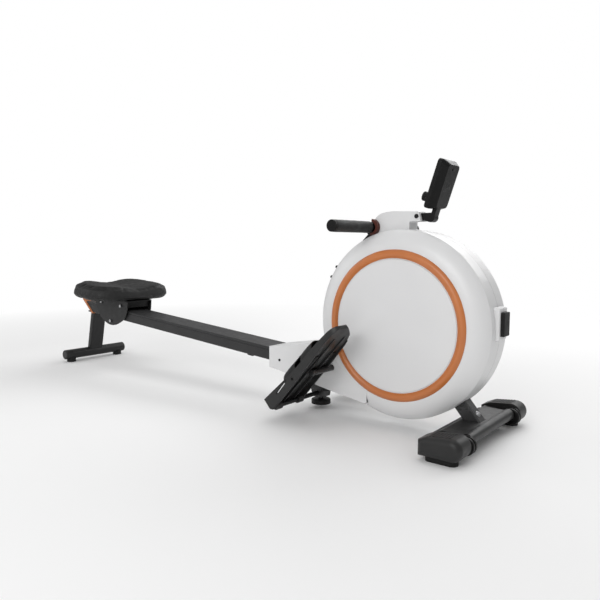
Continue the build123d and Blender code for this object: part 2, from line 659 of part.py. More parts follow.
with BuildPart() as handle_cradle:
    with BuildSketch(upright(CRADLE_HALF)):
        with BuildLine():
            arc_size = CRADLE_HIGH - CRADLE_LOW
            inner = CenterArc((BAR_X, BAR_Z), CRADLE_IN, CRADLE_LOW, arc_size)
            outer = CenterArc((BAR_X, BAR_Z), CRADLE_OUT, CRADLE_HIGH, -arc_size)
            Line(inner @ 1, outer @ 0)
            Line(outer @ 1, inner @ 0)
        make_face()
    extrude(amount=2 * CRADLE_HALF)
finish(handle_cradle, "handle_cradle")

with BuildPart() as handle_bar:
    rod(y_plane(BAR_X, HANDLE_HALF - 6, BAR_Z), BAR_R, 2 * (HANDLE_HALF - 6))
    rod(y_plane(BAR_X, HANDLE_HALF - 6, BAR_Z), BAR_R - BAR_WALL, 2 * (HANDLE_HALF - 6), mode=Mode.SUBTRACT)
finish(handle_bar, "handle_bar")


with BuildPart() as handle_grips:
    rod(y_plane(BAR_X, HANDLE_HALF - 6, BAR_Z), GRIP_R, HANDLE_HALF - 6 - GRIP_IN)
    fillet(handle_grips.edges().filter_by(GeomType.CIRCLE), 1.5)
    rod(y_plane(BAR_X, HANDLE_HALF - 6, BAR_Z), BAR_R, HANDLE_HALF - 6 - GRIP_IN, mode=Mode.SUBTRACT)
    mirror(about=Plane.XZ)
finish(handle_grips, "handle_grips")

with BuildPart() as handle_end_caps:
    rod(y_plane(BAR_X, HANDLE_HALF, BAR_Z), GRIP_R - 0.5, 6)
    fillet(handle_end_caps.edges().group_by(Axis.Y)[-1], 2.5)
    mirror(about=Plane.XZ)
finish(handle_end_caps, "handle_end_caps")

YOKE_R, YOKE_HALF = 16.0, 26.0
TAB_REACH = 12.0                     # the yoke's tab beyond its sleeve
# the strap runs over the drum from its outlet, lifts off and goes straight to the parked handle
STRAP_R = RIM_R + RIM_CROWN + 2.5
bar_from_hub = hypot(BAR_X - HUB_X, BAR_Z - HUB_Z)
LIFT_ANGLE = degrees(atan2(BAR_Z - HUB_Z, BAR_X - HUB_X) + acos(STRAP_R / bar_from_hub))
STRAP_ANGLE = LIFT_ANGLE - 90
with BuildPart() as strap_yoke:
    rod(y_plane(BAR_X, YOKE_HALF, BAR_Z), YOKE_R, 2 * YOKE_HALF)
    with BuildSketch(upright(STRAP_W / 2 + 4)):
        with Locations(Location((BAR_X, BAR_Z), -180 + STRAP_ANGLE)):
            with Locations((YOKE_R + TAB_REACH / 2 - 4, 0)):
                Rectangle(TAB_REACH + 8, 7)
    extrude(amount=STRAP_W + 8)
    rod(y_plane(BAR_X, YOKE_HALF, BAR_Z), BAR_R, 2 * YOKE_HALF, mode=Mode.SUBTRACT)
finish(strap_yoke, "strap_yoke")

# ======== strap outlet ========
ROLLER_OUT_R = 6.0
with BuildPart() as strap_outlet:
    with BuildSketch(OUTLET.offset(RIM_R - 9)):
        Rectangle(OUTLET_W - 0.6, OUTLET_H - 0.6)
        Rectangle(STRAP_W + 14, OUTLET_H - 14, mode=Mode.SUBTRACT)
    extrude(amount=9 + RIM_CROWN)
    with BuildSketch(OUTLET.offset(RIM_R + RIM_CROWN)):
        with Locations((0, OUTLET_H / 2), (0, -OUTLET_H / 2)):
            Rectangle(OUTLET_W + 8, 7)
            Rectangle(STRAP_W + 6, 8, mode=Mode.SUBTRACT)
    extrude(amount=4)
finish(strap_outlet, "strap_outlet")

with BuildPart() as pull_strap:
    with BuildSketch(upright(STRAP_W / 2)):
        with BuildLine():
            free_run = sqrt(bar_from_hub**2 - STRAP_R**2) - YOKE_R - TAB_REACH - 0.2
            run = Vector(free_run, 0).rotate(Axis.Z, STRAP_ANGLE)
            hub = (HUB_X, HUB_Z)
            low = CenterArc(hub, STRAP_R - STRAP_T / 2, LIFT_ANGLE, OUTLET_ANGLE - LIFT_ANGLE)
            high = CenterArc(hub, STRAP_R + STRAP_T / 2, OUTLET_ANGLE, LIFT_ANGLE - OUTLET_ANGLE)
            Line(low @ 1, high @ 0)
            Polyline(high @ 1, (high @ 1) + run, (low @ 0) + run, low @ 0)
        make_face()
    extrude(amount=STRAP_W)
    with BuildSketch(OUTLET.offset(RIM_R - 12)):
        Rectangle(STRAP_W, STRAP_T)
    extrude(amount=STRAP_R - RIM_R + 12)
finish(pull_strap, "pull_strap")

# ======== drive inside the drum ========
MAGNET_PIVOT_AT = (MAGNET_PIVOT[0], PLATE_IN + FRAME_T + 3, MAGNET_PIVOT[1])
with BuildPart() as drive_axles:
    axle_end = PLATE_IN + FRAME_T + 6
    rod(y_plane(FLY_X, axle_end, FLY_Z), FLY_AXLE_R, 2 * axle_end)
    rod(y_plane(SPOOL_X, axle_end, SPOOL_Z), SPOOL_AXLE_R, 2 * axle_end)
    rod(y_plane(*MAGNET_PIVOT_AT), MAGNET_PIN_R, 2 * MAGNET_PIVOT_AT[1])
finish(drive_axles, "drive_axles")

with BuildPart() as flywheel:
    rod(y_plane(FLY_X, FLY_T / 2, FLY_Z), FLY_R, FLY_T)
    for y in (FLY_T / 2, -FLY_T / 2 + 5):
        with BuildSketch(y_plane(FLY_X, y, FLY_Z)):
            Circle(FLY_R - 26)
            Circle(30, mode=Mode.SUBTRACT)
        extrude(amount=5, mode=Mode.SUBTRACT)
    rod(y_plane(FLY_X, FLY_T / 2 + 5, FLY_Z), 24, FLY_T + 10)
    rod(y_plane(FLY_X, 20, FLY_Z), FLY_AXLE_R + SHAFT_PLAY, 40, mode=Mode.SUBTRACT)
finish(flywheel, "flywheel")

with BuildPart() as flywheel_pulley:
    rod(y_plane(FLY_X, BELT_Y + BELT_W / 2 + 2, FLY_Z), SMALL_R + 3, BELT_W + 4 + 5)
    with BuildSketch(y_plane(FLY_X, BELT_Y + BELT_W / 2, FLY_Z)):
        Circle(SMALL_R + 5)
        Circle(SMALL_R, mode=Mode.SUBTRACT)
    extrude(amount=BELT_W, mode=Mode.SUBTRACT)
    rod(y_plane(FLY_X, 40, FLY_Z), FLY_AXLE_R + SHAFT_PLAY, 40, mode=Mode.SUBTRACT)
finish(flywheel_pulley, "flywheel_pulley")

with BuildPart() as drive_pulley:
    rod(y_plane(SPOOL_X, BELT_Y + BELT_W / 2 + 2, SPOOL_Z), DRIVE_R + 3, BELT_W + 4)
    with BuildSketch(y_plane(SPOOL_X, BELT_Y + BELT_W / 2, SPOOL_Z)):
        Circle(DRIVE_R + 5)
        Circle(DRIVE_R, mode=Mode.SUBTRACT)
    extrude(amount=BELT_W, mode=Mode.SUBTRACT)
    with BuildSketch(y_plane(SPOOL_X, BELT_Y + BELT_W / 2 + 2, SPOOL_Z)):
        with PolarLocations(48, 5):
            Circle(15)
    extrude(amount=BELT_W + 4, mode=Mode.SUBTRACT)
    rod(y_plane(SPOOL_X, 40, SPOOL_Z), SPOOL_AXLE_R + SHAFT_PLAY, 40, mode=Mode.SUBTRACT)
finish(drive_pulley, "drive_pulley")

SPOOL_R, SPOOL_FLANGE_R = 32.0, 47.0
with BuildPart() as strap_spool:
    rod(y_plane(SPOOL_X, STRAP_W / 2 + 1, SPOOL_Z), SPOOL_R, STRAP_W + 2)
    for y in (STRAP_W / 2 + 3, -STRAP_W / 2 - 1):
        rod(y_plane(SPOOL_X, y, SPOOL_Z), SPOOL_FLANGE_R, 2)
    rod(y_plane(SPOOL_X, 30, SPOOL_Z), SPOOL_AXLE_R + SHAFT_PLAY, 60, mode=Mode.SUBTRACT)
finish(strap_spool, "strap_spool")

with BuildPart() as return_spring:
    with BuildSketch(y_plane(SPOOL_X, -STRAP_W / 2 - 4, SPOOL_Z)):
        for k in range(5):
            Circle(36 - 5 * k)
            Circle(34.5 - 5 * k, mode=Mode.SUBTRACT)
        with Locations((23, 0)):
            Rectangle(26, 1.5)
        Circle(SPOOL_AXLE_R + 3)
        Circle(SPOOL_AXLE_R, mode=Mode.SUBTRACT)
        with Locations((SPOOL_AXLE_R + 4, 0)):
            Rectangle(5, 1.5)
    extrude(amount=14)
finish(return_spring, "return_spring")

with BuildPart() as drive_belt:
    centre_run = Vector(SPOOL_X - FLY_X, SPOOL_Z - FLY_Z)
    lean = degrees(atan2(centre_run.Y, centre_run.X))
    spread = degrees(atan2(DRIVE_R - SMALL_R, sqrt(centre_run.length**2 - (DRIVE_R - SMALL_R) ** 2)))

    def belt_loop(extra):
        """Outline of the belt around both pulleys, this far off their grooves."""
        big, small = DRIVE_R + extra, SMALL_R + extra
        with BuildLine() as loop:
            a = CenterArc((SPOOL_X, SPOOL_Z), big, lean - 90 - spread, 180 + 2 * spread)
            b = CenterArc((FLY_X, FLY_Z), small, lean + 90 + spread, 180 - 2 * spread)
            Line(a @ 1, b @ 0)
            Line(b @ 1, a @ 0)
        return loop.edges()

    with BuildSketch(upright(BELT_Y + BELT_W / 2 - 1)):
        make_face(belt_loop(GAP + 3))
        make_face(belt_loop(GAP), mode=Mode.SUBTRACT)
    extrude(amount=BELT_W - 2)
finish(drive_belt, "drive_belt")

# magnet bracket swings over the flywheel's rim
MAGNET_HALF = 14.0
with BuildPart() as magnet_bracket:
    for y in (MAGNET_HALF + 4, -MAGNET_HALF):
        with BuildSketch(upright(y)):
            with BuildLine():
                inner = CenterArc((FLY_X, FLY_Z), FLY_R - 18, 62, 50)
                side_a = Line(inner @ 1, (MAGNET_PIVOT[0] - 12, MAGNET_PIVOT[1] + 4))
                top = Line(side_a @ 1, (MAGNET_PIVOT[0] + 6, MAGNET_PIVOT[1] + 12))
                Line(top @ 1, inner @ 0)
            make_face()
        extrude(amount=4)
    with BuildSketch(upright(MAGNET_HALF)):
        with Locations(MAGNET_PIVOT):
            Circle(9)
    extrude(amount=2 * MAGNET_HALF)
    rod(y_plane(MAGNET_PIVOT[0], 30, MAGNET_PIVOT[1]), MAGNET_PIN_R + SHAFT_PLAY, 60, mode=Mode.SUBTRACT)
finish(magnet_bracket, "magnet_bracket")

with BuildPart() as brake_magnets:
    for y in (MAGNET_HALF, -MAGNET_HALF + 4):
        with BuildSketch(upright(y)):
            for angle in (72, 87, 102):
                with Locations(Location((FLY_X, FLY_Z), angle)):
                    with Locations((FLY_R - 10, 0)):
                        Rectangle(12, 22)
        extrude(amount=4)
finish(brake_magnets, "brake_magnets")


# ======== pedals ========
RIM_T = 6.0
AXLE_HALF = PEDAL_OUT - RIM_T - GAP  # the axle ends inside the pedals' outer rims
with BuildPart() as pedal_axle:
    rod(y_plane(PEDAL_AXLE[0], AXLE_HALF, PEDAL_AXLE[1]), PEDAL_AXLE_R, 2 * AXLE_HALF)
finish(pedal_axle, "pedal_axle")

# bump foot under the pedal mount, just clear of a level floor
FOOT_R, FOOT_LOW, FOOT_TOP = 31.0, 14.0, 29.0
with BuildPart() as centre_foot:
    rod(Plane.XY.move(Location((PEDAL_AXLE[0] - 2, 0, FOOT_LOW))), FOOT_R, FOOT_TOP - FOOT_LOW)
    fillet(centre_foot.edges().group_by(Axis.Z)[-1], 4)
    rod(Plane.XY.move(Location((PEDAL_AXLE[0] - 2, 0, FOOT_TOP))), 8, MOUNT_OUTLINE[5][1] - FOOT_TOP)
finish(centre_foot, "centre_foot")

SOLE_T = 4.0
SLOT_SPANS = ((79, 149), (172, 238))
INNER_RIM = 3.0                      # the inner rim stands this little above the footplate
SIDE_HOLE = (133, -15)
SLOT_W = 16.0
PEDAL_W = PEDAL_OUT - PEDAL_IN
PEDAL_MID = (PEDAL_IN + PEDAL_OUT) / 2
SLOT_Y = PEDAL_W / 2 - RIM_T - 1 - SLOT_W / 2
tilt = radians(PEDAL_TILT)
sole_dir = (cos(radians(SOLE_TILT)), 0, sin(radians(SOLE_TILT)))
sole_up = (-sin(radians(SOLE_TILT)), 0, cos(radians(SOLE_TILT)))
SOLE_X, SOLE_Z = HEEL_X + SOLE_DROP * sin(tilt), HEEL_Z - SOLE_DROP * cos(tilt)
PEDAL_PLAN = Plane(
    origin=(HEEL_X, PEDAL_MID, HEEL_Z), x_dir=(cos(tilt), 0, sin(tilt)), z_dir=(-sin(tilt), 0, cos(tilt))
)
SOLE_PLANE = Plane(origin=(SOLE_X, PEDAL_MID, SOLE_Z), x_dir=sole_dir, z_dir=sole_up)
# the axle in the pedal's own directions, along the rims and out of them
AXLE_U = (PEDAL_AXLE[0] - HEEL_X) * cos(tilt) + (PEDAL_AXLE[1] - HEEL_Z) * sin(tilt)
AXLE_N = (PEDAL_AXLE[1] - HEEL_Z) * cos(tilt) - (PEDAL_AXLE[0] - HEEL_X) * sin(tilt)


def sole_side(y):
    """Upright plane on the footplate: local X from heel to toe, local Y up out of the plate."""
    return Plane(origin=(SOLE_X, y, SOLE_Z), x_dir=sole_dir, z_dir=(0, -1, 0))


bar_run = (REST_BAR_AT[0] - PEDAL_AXLE[0], REST_BAR_AT[2] - PEDAL_AXLE[1])
bar_radius, bar_angle = hypot(*bar_run), degrees(atan2(bar_run[1], bar_run[0]))
BAR_WAY, REST_SWEEP = REST_BAR_R + GAP, 36.0
with BuildPart() as pedal_left:
    with BuildSketch(pedal_plane(PEDAL_OUT)):
        with BuildLine():
            edge = Line((0, 0), (125, 0))
            swell = Spline(edge @ 1, (242, 9), (318, 12), (PEDAL_L, 2), tangents=[(1, 0), (0.4, -1)])
            low = Line(swell @ 1, (PEDAL_L - 8, -3))
            toe_under = Line(low @ 1, (300, -6))
            under = Spline(toe_under @ 1, (192, -21), (56, -38), (9, -42), tangents=[(-1, -0.1), (-1, 0)])
            Polyline(under @ 1, (0, -34), (0, 0))
        make_face()
    extrude(amount=PEDAL_W)
    with BuildSketch(PEDAL_PLAN.offset(-60)):
        with BuildLine():
            half = PEDAL_W / 2
            out_line = Line((0, half), (318, half))
            tip = (PEDAL_L + 1, 32)
            round_out = Spline(out_line @ 1, (348, 56), tip, tangents=[(1, 0), (0, -1)])
            inner_toe = (262, -half)
            round_in = Spline(tip, (346, 0), (316, -36), inner_toe, tangents=[(0, -1), (-1, -0.2)])
            in_line = Line(round_in @ 1, (0, -half))
            Line(in_line @ 1, out_line @ 0)
        make_face()
    extrude(amount=120, mode=Mode.INTERSECT)
    # tray for the shoe above the footplate, open underside below it
    with BuildSketch(sole_side(PEDAL_OUT - RIM_T)):
        with Locations((160, 40)):
            Rectangle(276, 80)
        with BuildLine():
            Polyline((24, -SOLE_T), (308, -SOLE_T), (308, -70), (24, -70), close=True)
        make_face()
    extrude(amount=PEDAL_W - 2 * RIM_T, mode=Mode.SUBTRACT)
    with BuildSketch(sole_side(PEDAL_IN + RIM_T)):
        with Locations((160, 40 + INNER_RIM)):
            Rectangle(276, 80)
    extrude(amount=RIM_T + 1, mode=Mode.SUBTRACT)
    # small round hole and slanted slot in the outer rim
    with BuildSketch(pedal_plane(PEDAL_OUT + 1)):
        with Locations(SIDE_HOLE):
            Circle(4.5)
        with Locations(Location((82, -10), 9)):
            SlotOverall(58, 5)
    extrude(amount=RIM_T + 2, mode=Mode.SUBTRACT)
    for y in (PEDAL_MID + 26, PEDAL_MID - 22):
        with BuildSketch(sole_side(y)):
            with BuildLine():
                Polyline((20, -SOLE_T), (309, -SOLE_T), (309, -6), (230, -9), (20, -13), close=True)
            make_face()
        extrude(amount=4)
    # strap slots along both sides
    with BuildSketch(SOLE_PLANE.offset(1)):
        for start, end in SLOT_SPANS:
            with Locations(((start + end) / 2, SLOT_Y), ((start + end) / 2, -SLOT_Y)):
                SlotOverall(end - start, SLOT_W)
    extrude(amount=-SOLE_T - 2, mode=Mode.SUBTRACT)
    # heel knuckles around the axle
    for y in (PEDAL_OUT - 4, PEDAL_IN + 26):
        with BuildSketch(pedal_plane(y)):
            with Locations((AXLE_U, AXLE_N)):
                Circle(PEDAL_AXLE_R + 5)
            with Locations((AXLE_U, (AXLE_N - SOLE_DROP) / 2)):
                Rectangle(18, -AXLE_N - SOLE_DROP + 2)
        extrude(amount=22)
    bore_plane = y_plane(PEDAL_AXLE[0], PEDAL_OUT - RIM_T, PEDAL_AXLE[1])
    rod(bore_plane, PEDAL_AXLE_R + SHAFT_PLAY, PEDAL_W, mode=Mode.SUBTRACT)
    # way for the rest bar as the pedal tips up: an arc about the axle, open below
    with BuildSketch(upright(REST_BAR_AT[1] + GAP)):
        with Locations((REST_BAR_AT[0], REST_BAR_AT[2])):
            Circle(BAR_WAY)
        with BuildLine():
            way_out = CenterArc(PEDAL_AXLE, bar_radius + BAR_WAY, bar_angle, -REST_SWEEP)
            way_in = CenterArc(PEDAL_AXLE, bar_radius - BAR_WAY, bar_angle - REST_SWEEP, REST_SWEEP)
            Line(way_out @ 1, way_in @ 0)
            Line(way_in @ 1, way_out @ 0)
        make_face()
    extrude(amount=REST_BAR_AT[1], mode=Mode.SUBTRACT)
finish(pedal_left, "pedal_left")

with BuildPart() as pedal_right:
    mirror(objects=pedal_left.part, about=Plane.XZ)
finish(pedal_right, "pedal_right")

# instep strap: two bands through the four slots, joined over the foot, with toggles under the footplate
BANDS = ((84, 144), (177, 233))
ARCH_H, ARCH_T = 48.0, 3.0
LEG_Y = SLOT_Y - 5                   # the strap runs along the slots' inner edges
ARCH_HALF = LEG_Y + ARCH_T / 2
BRIDGE_HALF = 12.0                   # the bands are joined over this width
TOGGLE = 15.0
STRAP_FROM, STRAP_TO = BANDS[0][0], BANDS[1][1]
ARCH = Plane(
    origin=(SOLE_X + STRAP_FROM * sole_dir[0], PEDAL_MID, SOLE_Z + STRAP_FROM * sole_dir[2]),
    x_dir=(0, 1, 0),
    z_dir=sole_dir,
)
with BuildPart() as foot_strap_left:
    with BuildSketch(ARCH):
        Ellipse(ARCH_HALF, ARCH_H)
        Ellipse(ARCH_HALF - ARCH_T, ARCH_H - ARCH_T, mode=Mode.SUBTRACT)
        with Locations((0, -ARCH_H / 2)):
            Rectangle(2 * ARCH_HALF + 2, ARCH_H, mode=Mode.SUBTRACT)
        with Locations((-LEG_Y, -SOLE_T / 2), (LEG_Y, -SOLE_T / 2)):
            Rectangle(ARCH_T, SOLE_T)
        toggle_y = ARCH_HALF - TOGGLE / 2
        with Locations((-toggle_y, -SOLE_T - ARCH_T / 2), (toggle_y, -SOLE_T - ARCH_T / 2)):
            Rectangle(TOGGLE, ARCH_T)
    extrude(amount=STRAP_TO - STRAP_FROM)
    gap_mid = (BANDS[0][1] + BANDS[1][0]) / 2
    with BuildSketch(SOLE_PLANE.offset(-SOLE_T - 2 * ARCH_T)):
        side_mid = BRIDGE_HALF + ARCH_HALF / 2
        with Locations((gap_mid, side_mid), (gap_mid, -side_mid)):
            RectangleRounded(BANDS[1][0] - BANDS[0][1], ARCH_HALF, 8)
    extrude(amount=ARCH_H + SOLE_T + 3 * ARCH_T, mode=Mode.SUBTRACT)
finish(foot_strap_left, "foot_strap_left")

with BuildPart() as foot_strap_right:
    mirror(objects=foot_strap_left.part, about=Plane.XZ)
finish(foot_strap_right, "foot_strap_right")

# ======== seat carriage ========
CARRIAGE_L = 236.0
PLATE_BOTTOM = RAIL_H + 30.0
with BuildPart() as carriage_plates:
    with BuildSketch(along_rail(SEAT_X, PLATE_Y + PLATE_T)):
        with BuildLine():
            top = Line((-CARRIAGE_L / 2, SEAT_BASE_Z - 5), (CARRIAGE_L / 2, SEAT_BASE_Z - 5))
            front = Line(top @ 1, (CARRIAGE_L / 2, 20))
            curve_f = Spline(front @ 1, (70, -52), (0, -PLATE_BOTTOM), tangents=[(0, -1), (-1, 0)])
            curve_r = Spline(curve_f @ 1, (-70, -52), (-CARRIAGE_L / 2, 20), tangents=[(-1, 0), (0, 1)])
            Line(curve_r @ 1, top @ 0)
        make_face()
        with Locations((-UPPER_AXLE_S, UPPER_ROLLER_R + GAP), (UPPER_AXLE_S, UPPER_ROLLER_R + GAP)):
            Circle(AXLE_R, mode=Mode.SUBTRACT)
        with Locations((0, -RAIL_H - LOWER_ROLLER_R - GAP)):
            Circle(AXLE_R, mode=Mode.SUBTRACT)
    extrude(amount=PLATE_T)
    mirror(about=Plane.XZ)
finish(carriage_plates, "carriage_plates")

with BuildPart() as seat_pan:
    with BuildSketch(along_rail(SEAT_X, PLATE_Y + PLATE_T)):
        with Locations((0, SEAT_BASE_Z - 2.5)):
            Rectangle(CARRIAGE_L, 5)
    extrude(amount=2 * (PLATE_Y + PLATE_T))
    with BuildSketch(along_rail(SEAT_X, PLATE_Y)):
        with Locations((-UPPER_AXLE_S - 32, SEAT_BASE_Z - 17), (UPPER_AXLE_S + 32, SEAT_BASE_Z - 17)):
            Rectangle(4, 26)
    extrude(amount=2 * PLATE_Y)
finish(seat_pan, "seat_pan")

ROLLER_SPOTS = {
    "front_rollers": (UPPER_AXLE_S, UPPER_ROLLER_R + GAP, UPPER_ROLLER_R),
    "rear_rollers": (-UPPER_AXLE_S, UPPER_ROLLER_R + GAP, UPPER_ROLLER_R),
    "under_rollers": (0, -RAIL_H - LOWER_ROLLER_R - GAP, LOWER_ROLLER_R),
}
AXLE_END = PLATE_Y + PLATE_T
with BuildPart() as roller_axles:
    for s, n, _ in ROLLER_SPOTS.values():
        with BuildSketch(along_rail(SEAT_X, AXLE_END)):
            with Locations((s, n)):
                Circle(AXLE_R)
        extrude(amount=2 * AXLE_END)
        for y in (AXLE_END + 5, -AXLE_END):
            with BuildSketch(along_rail(SEAT_X, y)):
                with Locations((s, n)):
                    RegularPolygon(7, 6)
            extrude(amount=5)
finish(roller_axles, "roller_axles")

for label, (s, n, radius) in ROLLER_SPOTS.items():
    with BuildPart() as rollers:
        for y in (ROLLER_Y + ROLLER_W / 2, -ROLLER_Y + ROLLER_W / 2):
            with BuildSketch(along_rail(SEAT_X, y)):
                with Locations((s, n)):
                    Circle(radius)
                    Circle(AXLE_R + SHAFT_PLAY, mode=Mode.SUBTRACT)
            extrude(amount=ROLLER_W)
        chamfer(rollers.edges().filter_by(GeomType.CIRCLE).sort_by(SortBy.RADIUS)[-4:], 1.5)
    finish(rollers, label)

SKIRT_IN, SKIRT_H = 32.0, 20.0        # the skirt draws in towards the pan
with BuildPart() as seat_pad:
    seat_up = (sin(radians(RAIL_ANGLE)), 0, cos(radians(RAIL_ANGLE)))
    pad_x = SEAT_X - SEAT_BACK * RAIL_DIR[0] + SEAT_BASE_Z * seat_up[0]
    pad_z = rail_top(SEAT_X) - SEAT_BACK * RAIL_DIR[2] + SEAT_BASE_Z * seat_up[2]
    seat_floor = Plane(origin=(pad_x, 0, pad_z), x_dir=RAIL_DIR, z_dir=seat_up)
    with BuildSketch(seat_floor):
        RectangleRounded(SEAT_L - 1.4 * SKIRT_IN, SEAT_W - 2 * SKIRT_IN, SEAT_CORNER - SKIRT_IN)
    with BuildSketch(seat_floor.offset(SKIRT_H)):
        RectangleRounded(SEAT_L, SEAT_W, SEAT_CORNER)
    loft(ruled=True)
    with BuildSketch(seat_floor.offset(SKIRT_H)):
        RectangleRounded(SEAT_L, SEAT_W, SEAT_CORNER)
    extrude(amount=SEAT_T - SKIRT_H)
    fillet(seat_pad.faces().sort_by(Axis.Z)[-1].edges(), 14)
finish(seat_pad, "seat_pad")

# ======== console ========
BACK_W = 64.0
FRONT_D, CASE_D = 13.0, 31.0         # depth of the front shell and of the whole case
TONGUE_HALF = 12.0
KNOB_R, KNOB_L, KNOB_ACROSS = 13.0, 15.0, 29.0
BUTTONS_ACROSS = {"reset_button": -30, "mode_button": -6}
with BuildPart() as console_front:
    with BuildSketch(console_plane(FACE_D - FRONT_D)):
        with Locations((0, CONSOLE_BOTTOM + CONSOLE_H / 2)):
            RectangleRounded(CONSOLE_W, CONSOLE_H, 10)
    extrude(amount=FRONT_D)
    fillet(console_front.faces().sort_by(Axis.X)[0].edges(), 2)
    with BuildSketch(console_plane(FACE_D - 2)):
        with Locations((0, WINDOW_UP)):
            RectangleRounded(WINDOW_W + 0.4, WINDOW_H + 0.4, 3)
    extrude(amount=3, mode=Mode.SUBTRACT)
    with BuildSketch(console_plane(FACE_D - 14)):
        with Locations((KNOB_ACROSS, CONTROLS_UP)):
            Circle(5.05)
        for across in BUTTONS_ACROSS.values():
            with Locations((across, CONTROLS_UP)):
                Circle(6 + GAP)
    extrude(amount=15, mode=Mode.SUBTRACT)
finish(console_front, "console_front")

with BuildPart() as console_back:
    with BuildSketch(console_plane(FACE_D - FRONT_D)):
        with Locations((0, CONSOLE_BOTTOM + CONSOLE_H / 2)):
            RectangleRounded(CONSOLE_W - 1, CONSOLE_H - 1, 10)
    with BuildSketch(console_plane(FACE_D - CASE_D)):
        with Locations((0, CONSOLE_BOTTOM + CONSOLE_H / 2)):
            RectangleRounded(BACK_W, CONSOLE_H - 18, 10)
    loft()
    with BuildSketch(console_plane(FACE_D - CASE_D)):
        with Locations((0, DOOR_UP)):
            Rectangle(DOOR_W + 0.4, DOOR_H + 0.4)
    extrude(amount=4, mode=Mode.SUBTRACT)
    # tongue under the case
    with BuildSketch(console_plane(-11)):
        with Locations((0, 15)):
            Rectangle(2 * TONGUE_HALF, 34)
    extrude(amount=11 + FACE_D - FRONT_D)
    rod(y_plane(CONSOLE_X, TONGUE_HALF, CONSOLE_Z), 13, 2 * TONGUE_HALF)
    # neck back to the pin in the perch's arm
    with BuildSketch(upright(TONGUE_HALF)):
        with BuildLine():
            Polyline(
                (PIVOT_X, PIVOT_Z - 8),
                (CONSOLE_X, CONSOLE_Z - 13),
                (CONSOLE_X, CONSOLE_Z + 13),
                (PIVOT_X, PIVOT_Z + 8),
                close=True,
            )
        make_face()
        with Locations((PIVOT_X, PIVOT_Z)):
            Circle(8)
    extrude(amount=2 * TONGUE_HALF)
    tongue_bore = y_plane(PIVOT_X, TONGUE_HALF + 1, PIVOT_Z)
    rod(tongue_bore, AXLE_R + SHAFT_PLAY, 2 * TONGUE_HALF + 2, mode=Mode.SUBTRACT)
finish(console_back, "console_back")

with BuildPart() as display_lens:
    with BuildSketch(console_plane(FACE_D - 2)):
        with Locations((0, WINDOW_UP)):
            RectangleRounded(WINDOW_W, WINDOW_H, 2.8)
    extrude(amount=2)
finish(display_lens, "display_lens")

with BuildPart() as battery_door:
    with BuildSketch(console_plane(FACE_D - CASE_D)):
        with Locations((0, DOOR_UP)):
            Rectangle(DOOR_W, DOOR_H)
    extrude(amount=4)
finish(battery_door, "battery_door")

with BuildPart() as resistance_knob:
    with BuildSketch(console_plane(FACE_D + GAP)):
        with Locations((KNOB_ACROSS, CONTROLS_UP)):
            Circle(KNOB_R)
            with PolarLocations(KNOB_R, 12):
                Circle(1.4, mode=Mode.SUBTRACT)
    extrude(amount=KNOB_L)
    fillet(resistance_knob.faces().sort_by(Axis.X)[0].edges(), 1)
    with BuildSketch(console_plane(FACE_D - 11)):
        with Locations((KNOB_ACROSS, CONTROLS_UP)):
            Circle(5)
    extrude(amount=11 + GAP)
finish(resistance_knob, "resistance_knob")

BUTTON_TRAVEL = 1.5
for label, across in BUTTONS_ACROSS.items():
    with BuildPart() as button:
        with BuildSketch(console_plane(FACE_D - 9)):
            with Locations((across, CONTROLS_UP)):
                Circle(6)
        extrude(amount=9 + BUTTON_TRAVEL + 1)
        fillet(button.faces().sort_by(Axis.X)[0].edges(), 1)
    finish(button, label)

# ======== bolts, screws and the console's pin ========
BOLT_R, BOLT_H = 6.5, 5.0
with BuildPart() as fasteners:
    # hex heads under the rail, at its joint with the frame and at the rear leg's flange
    for x, y, depth in (
        (RAIL_JOINT_X, 26, RAIL_H),
        (RAIL_JOINT_X, -26, RAIL_H),
        (LEG_BOLT_X, 26, RAIL_H + FLANGE_T),
        (LEG_BOLT_X, -26, RAIL_H + FLANGE_T),
    ):
        with BuildSketch(rail_side_down(x, y, depth)):
            RegularPolygon(BOLT_R, 6)
        extrude(amount=BOLT_H)
    # screws through the neck cover
    for y in (SCREW_Y, -SCREW_Y + SCREW_L):
        rod(y_plane(SCREW_X, y, SCREW_Z), SCREW_R, SCREW_L)
    # pin that the console tilts on, with a head on each side of the perch's arm
    rod(y_plane(PIVOT_X, PERCH_HALF, PIVOT_Z), AXLE_R, 2 * PERCH_HALF)
    for y in (PERCH_HALF + 2.5, -PERCH_HALF):
        rod(y_plane(PIVOT_X, y, PIVOT_Z), AXLE_R + 2, 2.5)
finish(fasteners, "fasteners")
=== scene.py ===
import json
from math import atan2, cos, exp, hypot, pi, radians, sin, sqrt

import bmesh
import bpy
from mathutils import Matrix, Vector, noise


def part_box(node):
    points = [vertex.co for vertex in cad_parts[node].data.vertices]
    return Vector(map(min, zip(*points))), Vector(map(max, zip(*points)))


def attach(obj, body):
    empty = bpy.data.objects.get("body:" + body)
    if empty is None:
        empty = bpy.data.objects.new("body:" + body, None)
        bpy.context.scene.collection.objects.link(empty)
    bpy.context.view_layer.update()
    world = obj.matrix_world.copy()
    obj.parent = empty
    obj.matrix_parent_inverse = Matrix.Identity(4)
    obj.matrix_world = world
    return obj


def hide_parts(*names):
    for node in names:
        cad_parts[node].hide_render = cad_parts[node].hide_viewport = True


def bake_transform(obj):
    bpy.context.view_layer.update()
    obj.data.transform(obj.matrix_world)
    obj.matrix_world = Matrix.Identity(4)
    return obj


# Looks of the magnetic rowing machine.
# Metres, in the CAD frame: +Z up, +X towards the drum, user's left is +Y.

